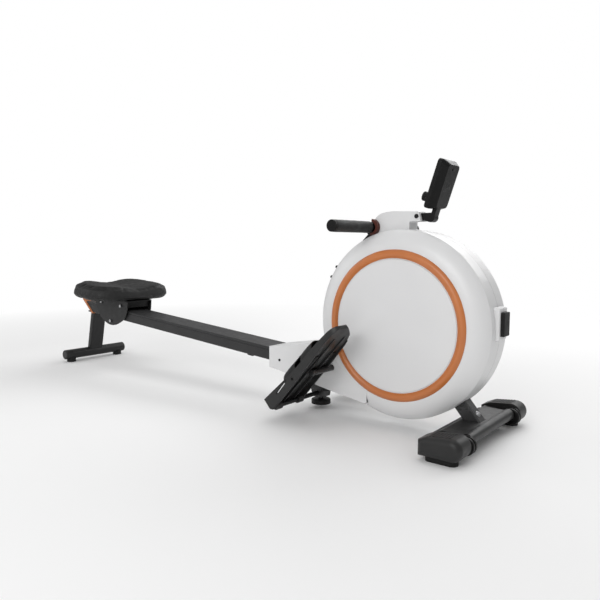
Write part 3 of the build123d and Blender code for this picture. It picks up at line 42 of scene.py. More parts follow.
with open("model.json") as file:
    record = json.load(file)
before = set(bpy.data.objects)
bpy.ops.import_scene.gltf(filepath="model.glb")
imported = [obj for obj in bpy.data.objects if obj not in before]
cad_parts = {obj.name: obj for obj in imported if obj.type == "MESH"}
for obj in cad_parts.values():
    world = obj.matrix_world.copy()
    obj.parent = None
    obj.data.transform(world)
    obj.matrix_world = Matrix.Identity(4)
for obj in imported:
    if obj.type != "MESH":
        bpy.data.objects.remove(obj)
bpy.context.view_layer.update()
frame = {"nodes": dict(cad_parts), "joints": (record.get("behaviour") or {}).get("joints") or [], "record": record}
joints = {joint["name"]: joint for joint in frame["joints"]}
slot_of = {part["node"]: part["material_slot"] for part in frame["record"]["subparts"]}
MM = 0.001


# ======== procedural materials ========
class Surface:
    """A procedural material on one Principled shader, with helpers for its node tree."""

    def __init__(self, name, **fixed):
        self.material = bpy.data.materials.new(name)
        self.material.use_nodes = True
        self.tree = self.material.node_tree
        self.shader = self.tree.nodes["Principled BSDF"]
        for socket, value in fixed.items():
            self.shader.inputs[socket.replace("_", " ")].default_value = value
        self.place = self.node("ShaderNodeTexCoord").outputs["Object"]
        self.normal = None

    def node(self, kind, inputs=None, **settings):
        made = self.tree.nodes.new(kind)
        for key, value in settings.items():
            setattr(made, key, value)
        for key, value in (inputs or {}).items():
            if isinstance(value, bpy.types.NodeSocket):
                self.tree.links.new(value, made.inputs[key])
            else:
                made.inputs[key].default_value = value
        return made

    def link(self, output, socket):
        self.tree.links.new(output, self.shader.inputs[socket])

    def stretched(self, scale):
        """The place on the object, scaled by a different amount along each axis."""
        return self.node("ShaderNodeMapping", {"Vector": self.place, "Scale": scale}).outputs["Vector"]

    def noise(self, scale, detail=2.0, vector=None, distortion=0.0):
        values = {"Vector": vector or self.place, "Scale": scale, "Detail": detail, "Distortion": distortion}
        return self.node("ShaderNodeTexNoise", values).outputs["Fac"]

    def cells(self, scale, feature="F1", vector=None):
        values = {"Vector": vector or self.place, "Scale": scale}
        return self.node("ShaderNodeTexVoronoi", values, feature=feature).outputs["Distance"]

    def spread(self, value, from_low, from_high, to_low, to_high):
        """The value carried from one range to another, held at its ends."""
        ends = {1: from_low, 2: from_high, 3: to_low, 4: to_high}
        return self.node("ShaderNodeMapRange", {0: value, **ends}).outputs[0]

    def maths(self, operation, a, b=0.0):
        return self.node("ShaderNodeMath", {0: a, 1: b}, operation=operation).outputs[0]

    def blended(self, share, a, b):
        """Colour a where share is 0 and colour b where it is 1."""
        mixer = self.node("ShaderNodeMix", {0: share, 6: a, 7: b}, data_type="RGBA")
        return mixer.outputs[2]

    def round_edges(self, radius):
        """Shade sharp CAD edges as if rounded to this radius, and give the mask of those edges."""
        bevel = self.node("ShaderNodeBevel", {"Radius": radius}, samples=4).outputs["Normal"]
        flat = self.node("ShaderNodeNewGeometry").outputs["Normal"]
        both = self.node("ShaderNodeVectorMath", {0: bevel, 1: flat}, operation="DOT_PRODUCT")
        self.normal = bevel
        return self.spread(both.outputs["Value"], 0.80, 0.995, 1.0, 0.0)

    def bump(self, height, strength, distance):
        values = {"Height": height, "Strength": strength, "Distance": distance}
        if self.normal is not None:
            values["Normal"] = self.normal
        self.normal = self.node("ShaderNodeBump", values).outputs["Normal"]

    def done(self, colour=None, rough=None):
        if colour is not None:
            self.link(colour, "Base Color")
        if rough is not None:
            self.link(rough, "Roughness")
        if self.normal is not None:
            self.link(self.normal, "Normal")
        return self.material


def grey(level, tint=(1.0, 1.0, 1.0)):
    return (level * tint[0], level * tint[1], level * tint[2], 1.0)


def powder_coat(name, level, tint=(1.0, 1.0, 1.0), rough=0.42, metallic=0.0, wear_and_edge_lighting=1.5):
    """Satin powder coat: a fine orange peel, with a painted highlight along its edges, broken up by noise."""
    s = Surface(name, Metallic=metallic, Specular_IOR_Level=0.35)
    edges = s.round_edges(1.2 * MM)
    cloud = s.noise(14.0, 4.0)
    peel = s.noise(900.0, 2.0)
    share = s.spread(cloud, 0.3, 0.7, 0.0, 1.0)
    base = s.blended(share, grey(level * 0.9, tint), grey(level * 1.1, tint))
    # Painted highlight: the colour is lighter along the edges, broken up by noise.
    edge_highlight = s.maths("MULTIPLY", edges, s.spread(s.noise(160.0, 4.0), 0.42, 0.62, 0.2, 1.0))
    colour = s.blended(edge_highlight, base, grey(level * wear_and_edge_lighting + 0.008, tint))
    s.bump(peel, 0.25, 0.15 * MM)
    s.bump(s.noise(60.0, 2.0), 0.05, 0.6 * MM)
    return s.done(colour, s.spread(s.noise(35.0, 3.0), 0.3, 0.7, rough - 0.05, rough + 0.07))


def moulded(name, low, high, rough, grain=700.0, grain_depth=0.06, wear_and_edge_lighting=0.0, coat=0.0, edge=1.0, spec=0.5):
    """Moulded plastic with a spark-eroded grain, soft edges and a little colour drift."""
    s = Surface(name, Coat_Weight=coat, Coat_Roughness=0.25, Specular_IOR_Level=spec)
    edges = s.round_edges(edge * MM)
    drift = s.spread(s.noise(9.0, 3.0), 0.3, 0.7, 0.0, 1.0)
    colour = s.blended(drift, low, high)
    # Painted edge light and shade: the colour along the edges is lighter as a painted highlight when the factor is
    # above 1, and darker as painted shade when it is below 1, broken up by noise.
    if wear_and_edge_lighting:
        scuff_and_edge_lighting = s.maths("MULTIPLY", edges, s.spread(s.noise(120.0, 4.0), 0.4, 0.62, 0.15, 1.0))
        edge_lighting_colour = tuple(min(1.0, c * wear_and_edge_lighting + 0.01) for c in high[:3]) + (1.0,)
        colour = s.blended(scuff_and_edge_lighting, colour, edge_lighting_colour)
    s.bump(s.noise(grain, 3.0), 0.5, grain_depth * MM)
    s.bump(s.noise(22.0, 1.0), 0.04, 1.0 * MM)
    return s.done(colour, s.spread(s.noise(45.0, 3.0), 0.3, 0.7, rough - 0.04, rough + 0.06))


SHELL_LOW, SHELL_HIGH = (0.70, 0.70, 0.705, 1.0), (0.74, 0.74, 0.742, 1.0)
SEAM_HALF = 0.25 * MM


def white_shell(name, with_seam):
    """Semi-gloss white ABS. The two housing halves meet in a fine line on the machine's middle plane."""
    s = Surface(name, Coat_Weight=0.12, Coat_Roughness=0.2, Specular_IOR_Level=0.45)
    edges = s.round_edges(1.6 * MM)
    drift = s.spread(s.noise(3.5, 2.0), 0.3, 0.7, 0.0, 1.0)
    colour = s.blended(drift, SHELL_LOW, SHELL_HIGH)
    scuff_and_edge_lighting = s.maths("MULTIPLY", edges, s.spread(s.noise(90.0, 4.0), 0.5, 0.7, 0.0, 0.5))
    colour = s.blended(scuff_and_edge_lighting, colour, (0.58, 0.58, 0.585, 1.0))
    if with_seam:
        across = s.node("ShaderNodeSeparateXYZ", {0: s.place}).outputs["Y"]
        seam = s.spread(s.maths("ABSOLUTE", across), SEAM_HALF, 3 * SEAM_HALF, 1.0, 0.0)
        colour = s.blended(seam, colour, (0.34, 0.34, 0.345, 1.0))
        s.bump(s.maths("SUBTRACT", 1.0, seam), 0.8, 0.6 * MM)
    s.bump(s.noise(520.0, 2.0), 0.25, 0.04 * MM)
    s.bump(s.noise(8.0, 1.0), 0.03, 1.5 * MM)
    return s.done(colour, s.spread(s.noise(30.0, 3.0), 0.3, 0.7, 0.33, 0.43))


def soft_skin(name, low, high, skirt, rough=0.5):
    """Moulded foam with a soft leather-like skin: pebble grain and creases, with painted shade in the creases, and
    painted light making the skin paler wherever it faces sideways, as on its skirt.
    """
    s = Surface(name, Sheen_Weight=0.0, Specular_IOR_Level=0.22)
    pebble = s.cells(420.0, "SMOOTH_F1")
    creases = s.cells(260.0, "DISTANCE_TO_EDGE")
    drift = s.spread(s.noise(11.0, 4.0), 0.3, 0.7, 0.0, 1.0)
    normal = s.node("ShaderNodeNewGeometry").outputs["Normal"]
    facing = s.node("ShaderNodeSeparateXYZ", {0: normal}).outputs["Z"]
    # Painted light: the skin is paler wherever it faces sideways, so the skirt is lighter than the top.
    colour = s.blended(s.spread(facing, 0.45, 0.85, 1.0, 0.0), s.blended(drift, low, high), skirt)
    # Painted shade: the colour is darker in the grain's creases.
    dark = s.spread(creases, 0.0, 0.10, 0.35, 0.0)
    colour = s.blended(dark, colour, tuple(0.5 * c for c in low[:3]) + (1.0,))
    s.bump(pebble, 0.35, 0.35 * MM)
    s.bump(s.spread(creases, 0.0, 0.12, 0.0, 1.0), 0.25, 0.2 * MM)
    s.bump(s.noise(45.0, 3.0), 0.12, 1.0 * MM)
    return s.done(colour, s.spread(s.noise(70.0, 4.0), 0.3, 0.7, rough - 0.07, rough + 0.1))


def foam_sleeve(name):
    """Closed-cell foam: tiny open pores, dull, a little shiny where hands polish it."""
    s = Surface(name, Sheen_Weight=0.05, Sheen_Roughness=0.4, Specular_IOR_Level=0.25)
    pores = s.cells(1100.0)
    drift = s.spread(s.noise(40.0, 4.0), 0.3, 0.7, 0.0, 1.0)
    colour = s.blended(drift, grey(0.014), grey(0.026))
    # Painted shade: the colour is darker in the pores.
    colour = s.blended(s.spread(pores, 0.0, 0.35, 0.5, 0.0), colour, grey(0.005))
    s.bump(pores, 0.5, 0.25 * MM)
    s.bump(s.noise(130.0, 3.0), 0.25, 0.5 * MM)
    return s.done(colour, s.spread(s.noise(25.0, 3.0), 0.3, 0.7, 0.48, 0.62))


def rubber(name, low, high, rough):
    s = Surface(name, Specular_IOR_Level=0.25)
    edges = s.round_edges(0.8 * MM)
    drift = s.spread(s.noise(60.0, 4.0), 0.3, 0.7, 0.0, 1.0)
    dust = s.maths("MULTIPLY", edges, s.spread(s.noise(200.0, 4.0), 0.4, 0.65, 0.1, 0.8))
    dusty = tuple(2.0 * c + 0.01 for c in high[:3]) + (1.0,)
    colour = s.blended(dust, s.blended(drift, low, high), dusty)
    s.bump(s.noise(1200.0, 3.0), 0.35, 0.08 * MM)
    return s.done(colour, s.spread(s.noise(50.0, 3.0), 0.3, 0.7, rough - 0.06, rough + 0.06))


def woven(name, low, high, pitch):
    """Woven webbing: ribs across the tape and a finer thread along it, from the strip's own lengths."""
    s = Surface(name, Sheen_Weight=0.2, Sheen_Roughness=0.4)
    run = s.node("ShaderNodeAttribute", attribute_name="weave").outputs["Vector"]
    parts = s.node("ShaderNodeSeparateXYZ", {0: run})
    along, across = parts.outputs["X"], parts.outputs["Y"]
    turn = 2 * pi / pitch
    offset = s.maths("MULTIPLY", s.maths("SINE", s.maths("MULTIPLY", across, turn)), 1.1)
    ribs = s.maths("SINE", s.maths("ADD", s.maths("MULTIPLY", along, turn * 0.9), offset))
    threads = s.maths("SINE", s.maths("MULTIPLY", across, turn * 2.0))
    height = s.maths("ADD", s.maths("MULTIPLY", ribs, 0.6), s.maths("MULTIPLY", threads, 0.4))
    share = s.spread(height, -1.0, 1.0, 0.0, 1.0)
    fuzz = s.spread(s.noise(900.0, 3.0), 0.3, 0.7, 0.75, 1.0)
    colour = s.blended(s.maths("MULTIPLY", share, fuzz), low, high)
    s.bump(share, 0.8, 0.35 * MM)
    s.bump(s.noise(1500.0, 2.0), 0.3, 0.1 * MM)
    return s.done(colour, s.spread(share, 0.0, 1.0, 0.85, 0.62))


def metal(name, base, rough, brush=(1.0, 30.0, 1.0), depth=0.03, wear_and_edge_lighting=0.0, metallic=1.0):
    """Bare or plated metal with brush or turning marks along one axis."""
    s = Surface(name, Metallic=metallic)
    s.round_edges(0.6 * MM)
    marks = s.noise(60.0, 5.0, vector=s.stretched(brush))
    stain = s.spread(s.noise(30.0, 4.0), 0.35, 0.7, 0.0, 1.0)
    dull = tuple(c * (0.72 - wear_and_edge_lighting) for c in base[:3]) + (1.0,)
    colour = s.blended(s.maths("MULTIPLY", stain, 0.6), base, dull)
    s.bump(marks, 0.3, depth * MM)
    return s.done(colour, s.spread(marks, 0.3, 0.7, rough - 0.06, rough + 0.1))


def display_glass(name):
    """Smoked window, glossy, with faint handling marks."""
    s = Surface(name, Coat_Weight=0.6, Coat_Roughness=0.05, Specular_IOR_Level=0.6)
    marks = s.noise(35.0, 5.0, distortion=0.6)
    colour = s.blended(s.spread(marks, 0.4, 0.7, 0.0, 1.0), grey(0.018), grey(0.028))
    s.bump(s.noise(12.0, 1.0), 0.02, 0.5 * MM)
    return s.done(colour, s.spread(marks, 0.35, 0.75, 0.07, 0.2))


# Edge factors above 1 in these finishes paint a highlight along the edges.
finishes = {
    "rail_paint": powder_coat("rail_paint", 0.026, (1.0, 1.0, 1.03), 0.44),
    "frame_paint": powder_coat("frame_paint", 0.013, (1.0, 1.0, 1.03), 0.40),
    "post_paint": powder_coat("post_paint", 0.045, (1.0, 1.0, 1.01), 0.30, 0.4, 1.2),
    "white_shell": white_shell("white_shell", True),
    "white_bracket": white_shell("white_bracket", False),
    # Painted shade: the trim's edges are painted darker, standing in for the ring's rounded profile and its
    # contact shadow.
    "orange_trim": moulded(
        "orange_trim", (0.50, 0.155, 0.040, 1), (0.56, 0.180, 0.048, 1), 0.34, 500.0, 0.04, 0.45, 0.15
    ),
    "orange_cap": moulded(
        "orange_cap", (0.40, 0.125, 0.035, 1), (0.47, 0.155, 0.045, 1), 0.5, 600.0, 0.08, 1.2
    ),
    "brown_cradle": rubber("brown_cradle", (0.070, 0.018, 0.013, 1), (0.10, 0.027, 0.018, 1), 0.5),
    "black_plastic": moulded("black_plastic", grey(0.004), grey(0.007), 0.40, 800.0, 0.08, 2.6, spec=0.20),
    "grey_plastic": moulded("grey_plastic", grey(0.016), grey(0.022), 0.40, 800.0, 0.09, 1.8, spec=0.35),
    # The third grey is the painted light on the pad's sideways-facing skirt.
    "pad_vinyl": soft_skin("pad_vinyl", grey(0.006), grey(0.009), grey(0.024)),
    "foam": foam_sleeve("foam"),
    "rubber": rubber("rubber", grey(0.006), grey(0.010), 0.58),
    "webbing": woven("webbing", grey(0.006), grey(0.022), 1.6 * MM),
    "steel": metal("steel", (0.52, 0.52, 0.53, 1), 0.30),
    "black_oxide": metal("black_oxide", (0.018, 0.018, 0.019, 1), 0.38, metallic=0.6),
    "iron": metal("iron", (0.17, 0.17, 0.18, 1), 0.42, (1.0, 1.0, 1.0), 0.15, 0.1),
    "magnet": metal("magnet", (0.60, 0.60, 0.62, 1), 0.16),
    "lens": display_glass("lens"),
}
lcd_glass = moulded("lcd_panel", (0.20, 0.23, 0.19, 1), (0.23, 0.26, 0.21, 1), 0.22, 300.0, 0.01)
print_ink = moulded("pale_ink", grey(0.45), grey(0.52), 0.5, 900.0, 0.02)
strap_rubber = rubber("strap_rubber", grey(0.007), grey(0.011), 0.42)

# Lighter copy of the black plastic for the foot caps: a painted highlight standing in for the light on their tops,
# with the painted edge highlight as well.
highlit_cap_plastic = moulded("highlit_cap_plastic", grey(0.014), grey(0.020), 0.42, 800.0, 0.10, 2.0, spec=0.35)
lighter_copies = {"stabiliser_caps": highlit_cap_plastic, "rear_foot_caps": highlit_cap_plastic}

for node, shape in frame["nodes"].items():
    for index in range(len(shape.material_slots)):
        shape.material_slots[index].material = lighter_copies.get(node, finishes[slot_of[node]])


# ======== mesh helpers ========
def piece(name, points, faces, body, slot, material=None, smooth=True):
    """A mesh piece from points and faces, riding on a body."""
    mesh = bpy.data.meshes.new(name)
    mesh.from_pydata([tuple(p) for p in points], [], faces)
    mesh.validate()
    made = bpy.data.objects.new(name, mesh)
    bpy.context.scene.collection.objects.link(made)
    outward = bmesh.new()
    outward.from_mesh(mesh)
    bmesh.ops.remove_doubles(outward, verts=outward.verts, dist=1e-6)
    bmesh.ops.recalc_face_normals(outward, faces=outward.faces)
    outward.to_mesh(mesh)
    outward.free()
    mesh.materials.append(material or finishes[slot])
    for face in mesh.polygons:
        face.use_smooth = smooth
    if body:
        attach(made, body)
    return made


def apply_modifiers(made):
    """Bake the modifiers into the piece's mesh."""
    graph = bpy.context.evaluated_depsgraph_get()
    shaped = made.evaluated_get(graph)
    baked = bpy.data.meshes.new_from_object(shaped, preserve_all_data_layers=True, depsgraph=graph)
    made.modifiers.clear()
    made.data = baked


def bevelled(made, width, segments=2, angle=40.0):
    """Round the piece's sharp edges, then shade it smooth."""
    bevel = made.modifiers.new("bevel", "BEVEL")
    bevel.width, bevel.segments, bevel.limit_method = width, segments, "ANGLE"
    bevel.angle_limit = radians(angle)
    bevel.harden_normals = False
    apply_modifiers(made)
    for face in made.data.polygons:
        face.use_smooth = True
    return made


def lathe(origin, axis, profile, sides=48):
    """Points and faces of a round shape: the profile lists (distance along the axis, radius)."""
    axis = Vector(axis).normalized()
    side = axis.orthogonal().normalized()
    other = axis.cross(side)
    points, faces = [], []
    for along, radius in profile:
        for k in range(sides):
            a = 2 * pi * k / sides
            points.append(Vector(origin) + axis * along + (side * cos(a) + other * sin(a)) * radius)
    for row in range(len(profile) - 1):
        for k in range(sides):
            a, b = row * sides + k, row * sides + (k + 1) % sides
            faces.append((a, b, b + sides, a + sides))
    faces.append(tuple(range(sides)))
    faces.append(tuple(range((len(profile) - 1) * sides, len(profile) * sides)))
    return points, faces


def block(centre, across, along, up, size):
    """Points and faces of a box with edges along the three given directions."""
    half = [Vector(d).normalized() * (s / 2) for d, s in zip((across, along, up), size)]
    points = []
    for a in (-1, 1):
        for b in (-1, 1):
            for c in (-1, 1):
                points.append(Vector(centre) + half[0] * a + half[1] * b + half[2] * c)
    faces = [(0, 1, 3, 2), (4, 6, 7, 5), (0, 4, 5, 1), (2, 3, 7, 6), (0, 2, 6, 4), (1, 5, 7, 3)]
    return points, faces


def joined(shapes):
    """One list of points and faces from several."""
    points, faces = [], []
    for more, sides in shapes:
        faces += [tuple(len(points) + i for i in side) for side in sides]
        points += more
    return points, faces


def socket_screw(centre, axis, radius, rise):
    """Button-head screw with a round recess for its key."""
    hole = radius * 0.42
    profile = [(-rise * 0.6, radius), (0.0, radius), (rise * 0.5, radius * 0.93), (rise * 0.85, radius * 0.7)]
    profile += [(rise, hole * 1.25), (rise * 0.9, hole), (rise * 0.2, hole * 0.96)]
    return lathe(centre, axis, profile, 24)


# ======== seat: moulded saddle, puffed as cloth ========
slide = Vector(joints["seat_slide"]["axis"]).normalized()
seat_up = Vector((-slide.z, 0, slide.x))
pad_low, pad_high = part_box("seat_pad")
PAD_T = 58 * MM
PAD_HALF_L, PAD_HALF_W = 150 * MM, (pad_high.y - pad_low.y) / 2
SKIRT_IN, SKIRT_LOW = 32 * MM, 20 * MM
BASE_HALF_L = PAD_HALF_L - 0.7 * SKIRT_IN
PLAN_POWER = 3.0                      # squareness of the pad's plan
PUFF = 3.5 * MM                       # the pad starts this much small, and the pressure fills it out
PUFF_CAP = 7 * MM
pad_floor = Vector((
    (pad_low.x + pad_high.x) / 2 - 0.7 * PAD_T * seat_up.x,
    0,
    pad_low.z + BASE_HALF_L * -slide.z,
))


def on_seat(s, y, n):
    """A point in the pad's own directions: along the rail, across, and up off the pan."""
    return pad_floor + slide * s + seat_up * n + Vector((0, y, 0))


def saddle(u, v):
    """Height of the saddle's top; u runs across and v along, each from -1 to 1."""
    lobes = 5.0 * exp(-(((abs(u) - 0.60) / 0.34) ** 2))
    dip = -9.0 * exp(-((u / 0.33) ** 2))
    dish = -4.0 * exp(-(((abs(u) - 0.50) / 0.30) ** 2) - (((v - 0.05) / 0.5) ** 2))
    front_fall = -3.0 * max(0.0, v) ** 3
    rear_rise = 2.0 * max(0.0, -v) ** 2
    return PAD_T + (lobes + dip + dish + front_fall + rear_rise - 3.5) * MM


def plan_point(angle, half_l, half_w):
    c, s = cos(angle), sin(angle)
    return (
        half_l * abs(c) ** (2 / PLAN_POWER) * (1 if c >= 0 else -1),
        half_w * abs(s) ** (2 / PLAN_POWER) * (1 if s >= 0 else -1),
    )


# crisp upper edge and the skirt that flares below it: (in from the widest line, below the top), mm
RIM_IN = 10 * MM
RIM = ((8.2, 0.6), (7.0, 2.2), (6.2, 5.0), (4.6, 13.0), (1.8, 24.0), (0.0, 31.0))
# underside of the skirt: (in from the widest line, above the pan), mm
SKIRT = ((0.6, 18.0), (3.5, 11.0), (12.0, 5.0), (32.0, 0.6))


def pad_mesh(inset):
    """The saddle's closed form, smaller all round by inset."""
    count = 144
    points, rows = [], []
    for share in (0.0, 0.25, 0.5, 0.7, 0.85, 0.94, 1.0):
        half_l, half_w = (PAD_HALF_L - inset - RIM_IN) * share, (PAD_HALF_W - inset - RIM_IN) * share
        rows.append([(plan_point(2 * pi * k / count, half_l, half_w), 0.0) for k in range(count)])
    for offset, drop in RIM:
        half_l, half_w = PAD_HALF_L - inset - offset * MM, PAD_HALF_W - inset - offset * MM
        rows.append([(plan_point(2 * pi * k / count, half_l, half_w), drop * MM) for k in range(count)])
    for row in rows:
        for (s, y), drop in row:
            top = saddle(y / PAD_HALF_W, s / PAD_HALF_L)
            points.append(on_seat(s, y, top - inset - drop))
    for pull, height in SKIRT:
        in_l, in_w = 0.7 * pull * MM, pull * MM
        for k in range(count):
            s, y = plan_point(2 * pi * k / count, PAD_HALF_L - inset - in_l, PAD_HALF_W - inset - in_w)
            points.append(on_seat(s, y, max(height * MM, inset * 0.3)))
    total = len(points) // count
    faces = []
    for row in range(total - 1):
        for k in range(count):
            a, b = row * count + k, row * count + (k + 1) % count
            faces.append((a, b, b + count, a + count))
    faces.append(tuple(range((total - 1) * count, total * count)))
    return points, faces


def puff(made, pressure, cap, end=20):
    """Fill a closed mesh out with cloth pressure, gravity off, and cap how far any point moves."""
    remesh = made.modifiers.new("remesh", "REMESH")
    remesh.mode, remesh.voxel_size = "VOXEL", 5 * MM
    apply_modifiers(made)
    start = [v.co.copy() for v in made.data.vertices]
    cloth = made.modifiers.new("cloth", "CLOTH")
    cloth.settings.use_pressure = True
    cloth.settings.uniform_pressure_force = pressure
    cloth.settings.effector_weights.gravity = 0
    scene = bpy.context.scene
    for step in range(1, end + 1):
        scene.frame_set(step)
    apply_modifiers(made)
    scene.frame_set(1)
    for vertex, rest in zip(made.data.vertices, start):
        move = vertex.co - rest
        if move.length > cap:
            vertex.co = rest + move.normalized() * cap


def press_flat(made, height):
    """The pad is flat where it rests on its pan."""
    for vertex in made.data.vertices:
        off = (vertex.co - pad_floor).dot(seat_up)
        if off < height:
            vertex.co += seat_up * (height - off)


def parting_line(made):
    """Fine groove where the skin's two mould halves meet, round the widest part of the skirt."""
    for vertex in made.data.vertices:
        local = vertex.co - pad_floor
        off = local.dot(seat_up)
        near = exp(-(((off - SKIRT_LOW) / (1.6 * MM)) ** 2))
        outward = slide * local.dot(slide) + Vector((0, local.y, 0))
        vertex.co -= outward.normalized() * 1.3 * MM * near


def make_seat():
    points, faces = pad_mesh(PUFF)
    made = piece("seat_saddle", points, faces, None, "pad_vinyl")
    puff(made, 4.0, PUFF_CAP)
    press_flat(made, 0.6 * MM)
    smooth = made.modifiers.new("smooth", "SUBSURF")
    smooth.levels = smooth.render_levels = 1
    apply_modifiers(made)
    parting_line(made)
    for face in made.data.polygons:
        face.use_smooth = True
    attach(made, "seat")
    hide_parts("seat_pad")


make_seat()


# ======== handle: foam sleeves ========
GRIP_IN = 46 * MM
grip_low, grip_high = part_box("handle_grips")
bar_middle = Vector(((grip_low.x + grip_high.x) / 2, 0, (grip_low.z + grip_high.z) / 2))
GRIP_R = (grip_high.z - grip_low.z) / 2
GRIP_BORE = 13.2 * MM                 # hole for the handle's tube
GRIP_EDGE, GRIP_ROUND = 3 * MM, 2.6 * MM


def make_grip(name, side):
    """Foam sleeve with rounded ends, slightly uneven as foam on a bar is."""
    length = grip_high.y - GRIP_IN
    rows = 56
    profile = []
    for k in range(rows + 1):
        t = k / rows
        edge = min(t, 1 - t) * length
        round_off = GRIP_ROUND * max(0.0, 1 - edge / GRIP_EDGE) ** 2
        profile.append((t * length, GRIP_R - 0.3 * MM - round_off))
    ends = [(0.0, GRIP_BORE)] + profile + [(length, GRIP_BORE)]
    points, faces = lathe(bar_middle + Vector((0, side * GRIP_IN, 0)), (0, side, 0), ends, 64)
    for point in points:
        off = Vector((point.x - bar_middle.x, 0, point.z - bar_middle.z))
        wave = noise.noise(point * 55) * 0.35 * MM + noise.noise(point * 210) * 0.12 * MM
        if off.length > 14 * MM:
            point += off.normalized() * wave
    made = piece(name, points, faces, "handle", "foam")
    return made


grips = [make_grip("grip_left", 1), make_grip("grip_right", -1)]
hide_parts("handle_grips")


# ======== instep straps ========
SOLE_TILT = radians(46.6)
SOLE_FROM = Vector((353.06 * MM, 165.5 * MM, 48.16 * MM))   # footplate's heel edge, on its upper face
SOLE_DIR, SOLE_UP = Vector((cos(SOLE_TILT), 0, sin(SOLE_TILT))), Vector((-sin(SOLE_TILT), 0, cos(SOLE_TILT)))
BANDS = ((84, 144), (177, 233))
STRAP_SIDE, STRAP_RISE, STRAP_T = 46.0, 48.0, 3.0
SPLIT_FROM, SPLIT_RUN = 12.0, 14.0     # where the bands part, and how fast the gap opens
SOLE_T, TOGGLE_IN = 4.0, 13.0


def strap_line():
    """Middle line of the strap across the foot, as (across, up) in mm: toggle, slot, arch, slot, toggle."""
    side, rise = STRAP_SIDE - STRAP_T / 2, STRAP_RISE - STRAP_T / 2
    under = -SOLE_T - STRAP_T / 2 - 0.1
    half = [(side - TOGGLE_IN, under), (side - 6, under), (side - 1.2, under + 0.4)]
    half += [(side, under + 2.0), (side, 0.0)]
    steps = 44
    arch = [(side * cos(pi * k / steps), rise * sin(pi * k / steps)) for k in range(1, steps)]
    return half + arch + [(-a, b) for a, b in reversed(half)]


def gap_half(across, up):
    """Half width of the gap between the two bands at this place on the strap."""
    widest = (BANDS[1][0] - BANDS[0][1]) / 2
    if up <= 0.5:
        return widest
    t = (abs(across) - SPLIT_FROM) / SPLIT_RUN
    if t <= 0:
        return 0.0
    return widest * sqrt(1 - (1 - min(t, 1.0)) ** 2)


def make_foot_strap(name, side, body, node):
    """Two moulded bands over the instep, joined in the middle, each crowned and thin at its edges."""
    line = strap_line()
    middle = (BANDS[0][1] + BANDS[1][0]) / 2
    heel, toe = BANDS[0][0], BANDS[1][1]
    columns = 10
    points, faces = [], []
    for across, up in line:
        gap = gap_half(across, up)
        for start, end in ((heel, middle - gap), (middle + gap, toe)):
            for k in range(columns + 1):
                share = k / columns
                along = start + (end - start) * share
                own = (along - heel) / (toe - heel) if gap == 0 else share
                crown = 1.6 * (1 - (2 * own - 1) ** 2) if up > 0 else 0.0
                scale = 1 + crown / hypot(across, up) if up > 0 else 1
                place = SOLE_DIR * along + Vector((0, across * scale, 0)) + SOLE_UP * (up * scale)
                start_at = Vector((SOLE_FROM.x, SOLE_FROM.y * side, SOLE_FROM.z))
                points.append(start_at + place * MM)
    width = 2 * (columns + 1)
    for row in range(len(line) - 1):
        for k in range(width - 1):
            if k == columns:
                continue
            a = row * width + k
            faces.append((a, a + 1, a + 1 + width, a + width))
    made = piece(name, points, faces, None, "rubber", strap_rubber)
    solid = made.modifiers.new("solid", "SOLIDIFY")
    solid.thickness, solid.offset = STRAP_T * MM, 0.0
    bevelled(made, 1.1 * MM, 2, 50.0)
    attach(made, body)
    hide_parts(node)
    return made


make_foot_strap("instep_strap_left", 1, "pedal_left", "foot_strap_left")
make_foot_strap("instep_strap_right", -1, "pedal_right", "foot_strap_right")


# ======== pull strap ========
strap_low, strap_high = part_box("pull_strap")
wheel_low, wheel_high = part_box("disc_panels")
hub = Vector(((wheel_low.x + wheel_high.x) / 2, 0, (wheel_low.z + wheel_high.z) / 2))
STRAP_R, OUTLET_ANGLE = 271 * MM, radians(148.0)
STUB = 14 * MM                         # part of the strap inside the outlet
YOKE_REACH = 28.4 * MM                 # from the handle's tube to the end of the strap
WEBBING_T = 1.8 * MM


def make_pull_strap():
    """Woven strap: out of its outlet, over the drum, then straight to the handle's yoke."""
    to_bar = bar_middle - hub
    reach = hypot(to_bar.x, to_bar.z)
    lift = atan2(to_bar.z, to_bar.x) + (pi / 2 - atan2(STRAP_R, sqrt(reach**2 - STRAP_R**2)))
    free = sqrt(reach**2 - STRAP_R**2) - YOKE_REACH
    outlet = Vector((cos(OUTLET_ANGLE), 0, sin(OUTLET_ANGLE)))
    line = [hub + outlet * (STRAP_R - STUB * (1 - k / 6)) for k in range(6)]
    turns = 24
    for k in range(turns + 1):
        a = OUTLET_ANGLE + (lift - OUTLET_ANGLE) * k / turns
        line.append(hub + Vector((cos(a), 0, sin(a))) * STRAP_R)
    ahead = Vector((sin(lift), 0, -cos(lift)))
    last = line[-1]
    line += [last + ahead * free * k / 30 for k in range(1, 31)]
    half_w = (strap_high.y - strap_low.y) / 2
    columns = 12
    points, faces, weave = [], [], []
    run = 0.0
    for row, place in enumerate(line):
        run += (place - line[row - 1]).length if row else 0.0
        for k in range(columns + 1):
            y = half_w * (2 * k / columns - 1)
            points.append(place + Vector((0, y, 0)))
            weave.append((run, y, 0.0))
    width = columns + 1
    for row in range(len(line) - 1):
        for k in range(columns):
            a = row * width + k
            faces.append((a, a + 1, a + 1 + width, a + width))
    made = piece("pull_webbing", points, faces, None, "webbing")
    threads = made.data.attributes.new("weave", "FLOAT_VECTOR", "POINT")
    threads.data.foreach_set("vector", [c for w in weave for c in w])
    solid = made.modifiers.new("solid", "SOLIDIFY")
    solid.thickness, solid.offset = WEBBING_T, 0.0
    apply_modifiers(made)
    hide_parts("pull_strap")
    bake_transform(made)


make_pull_strap()

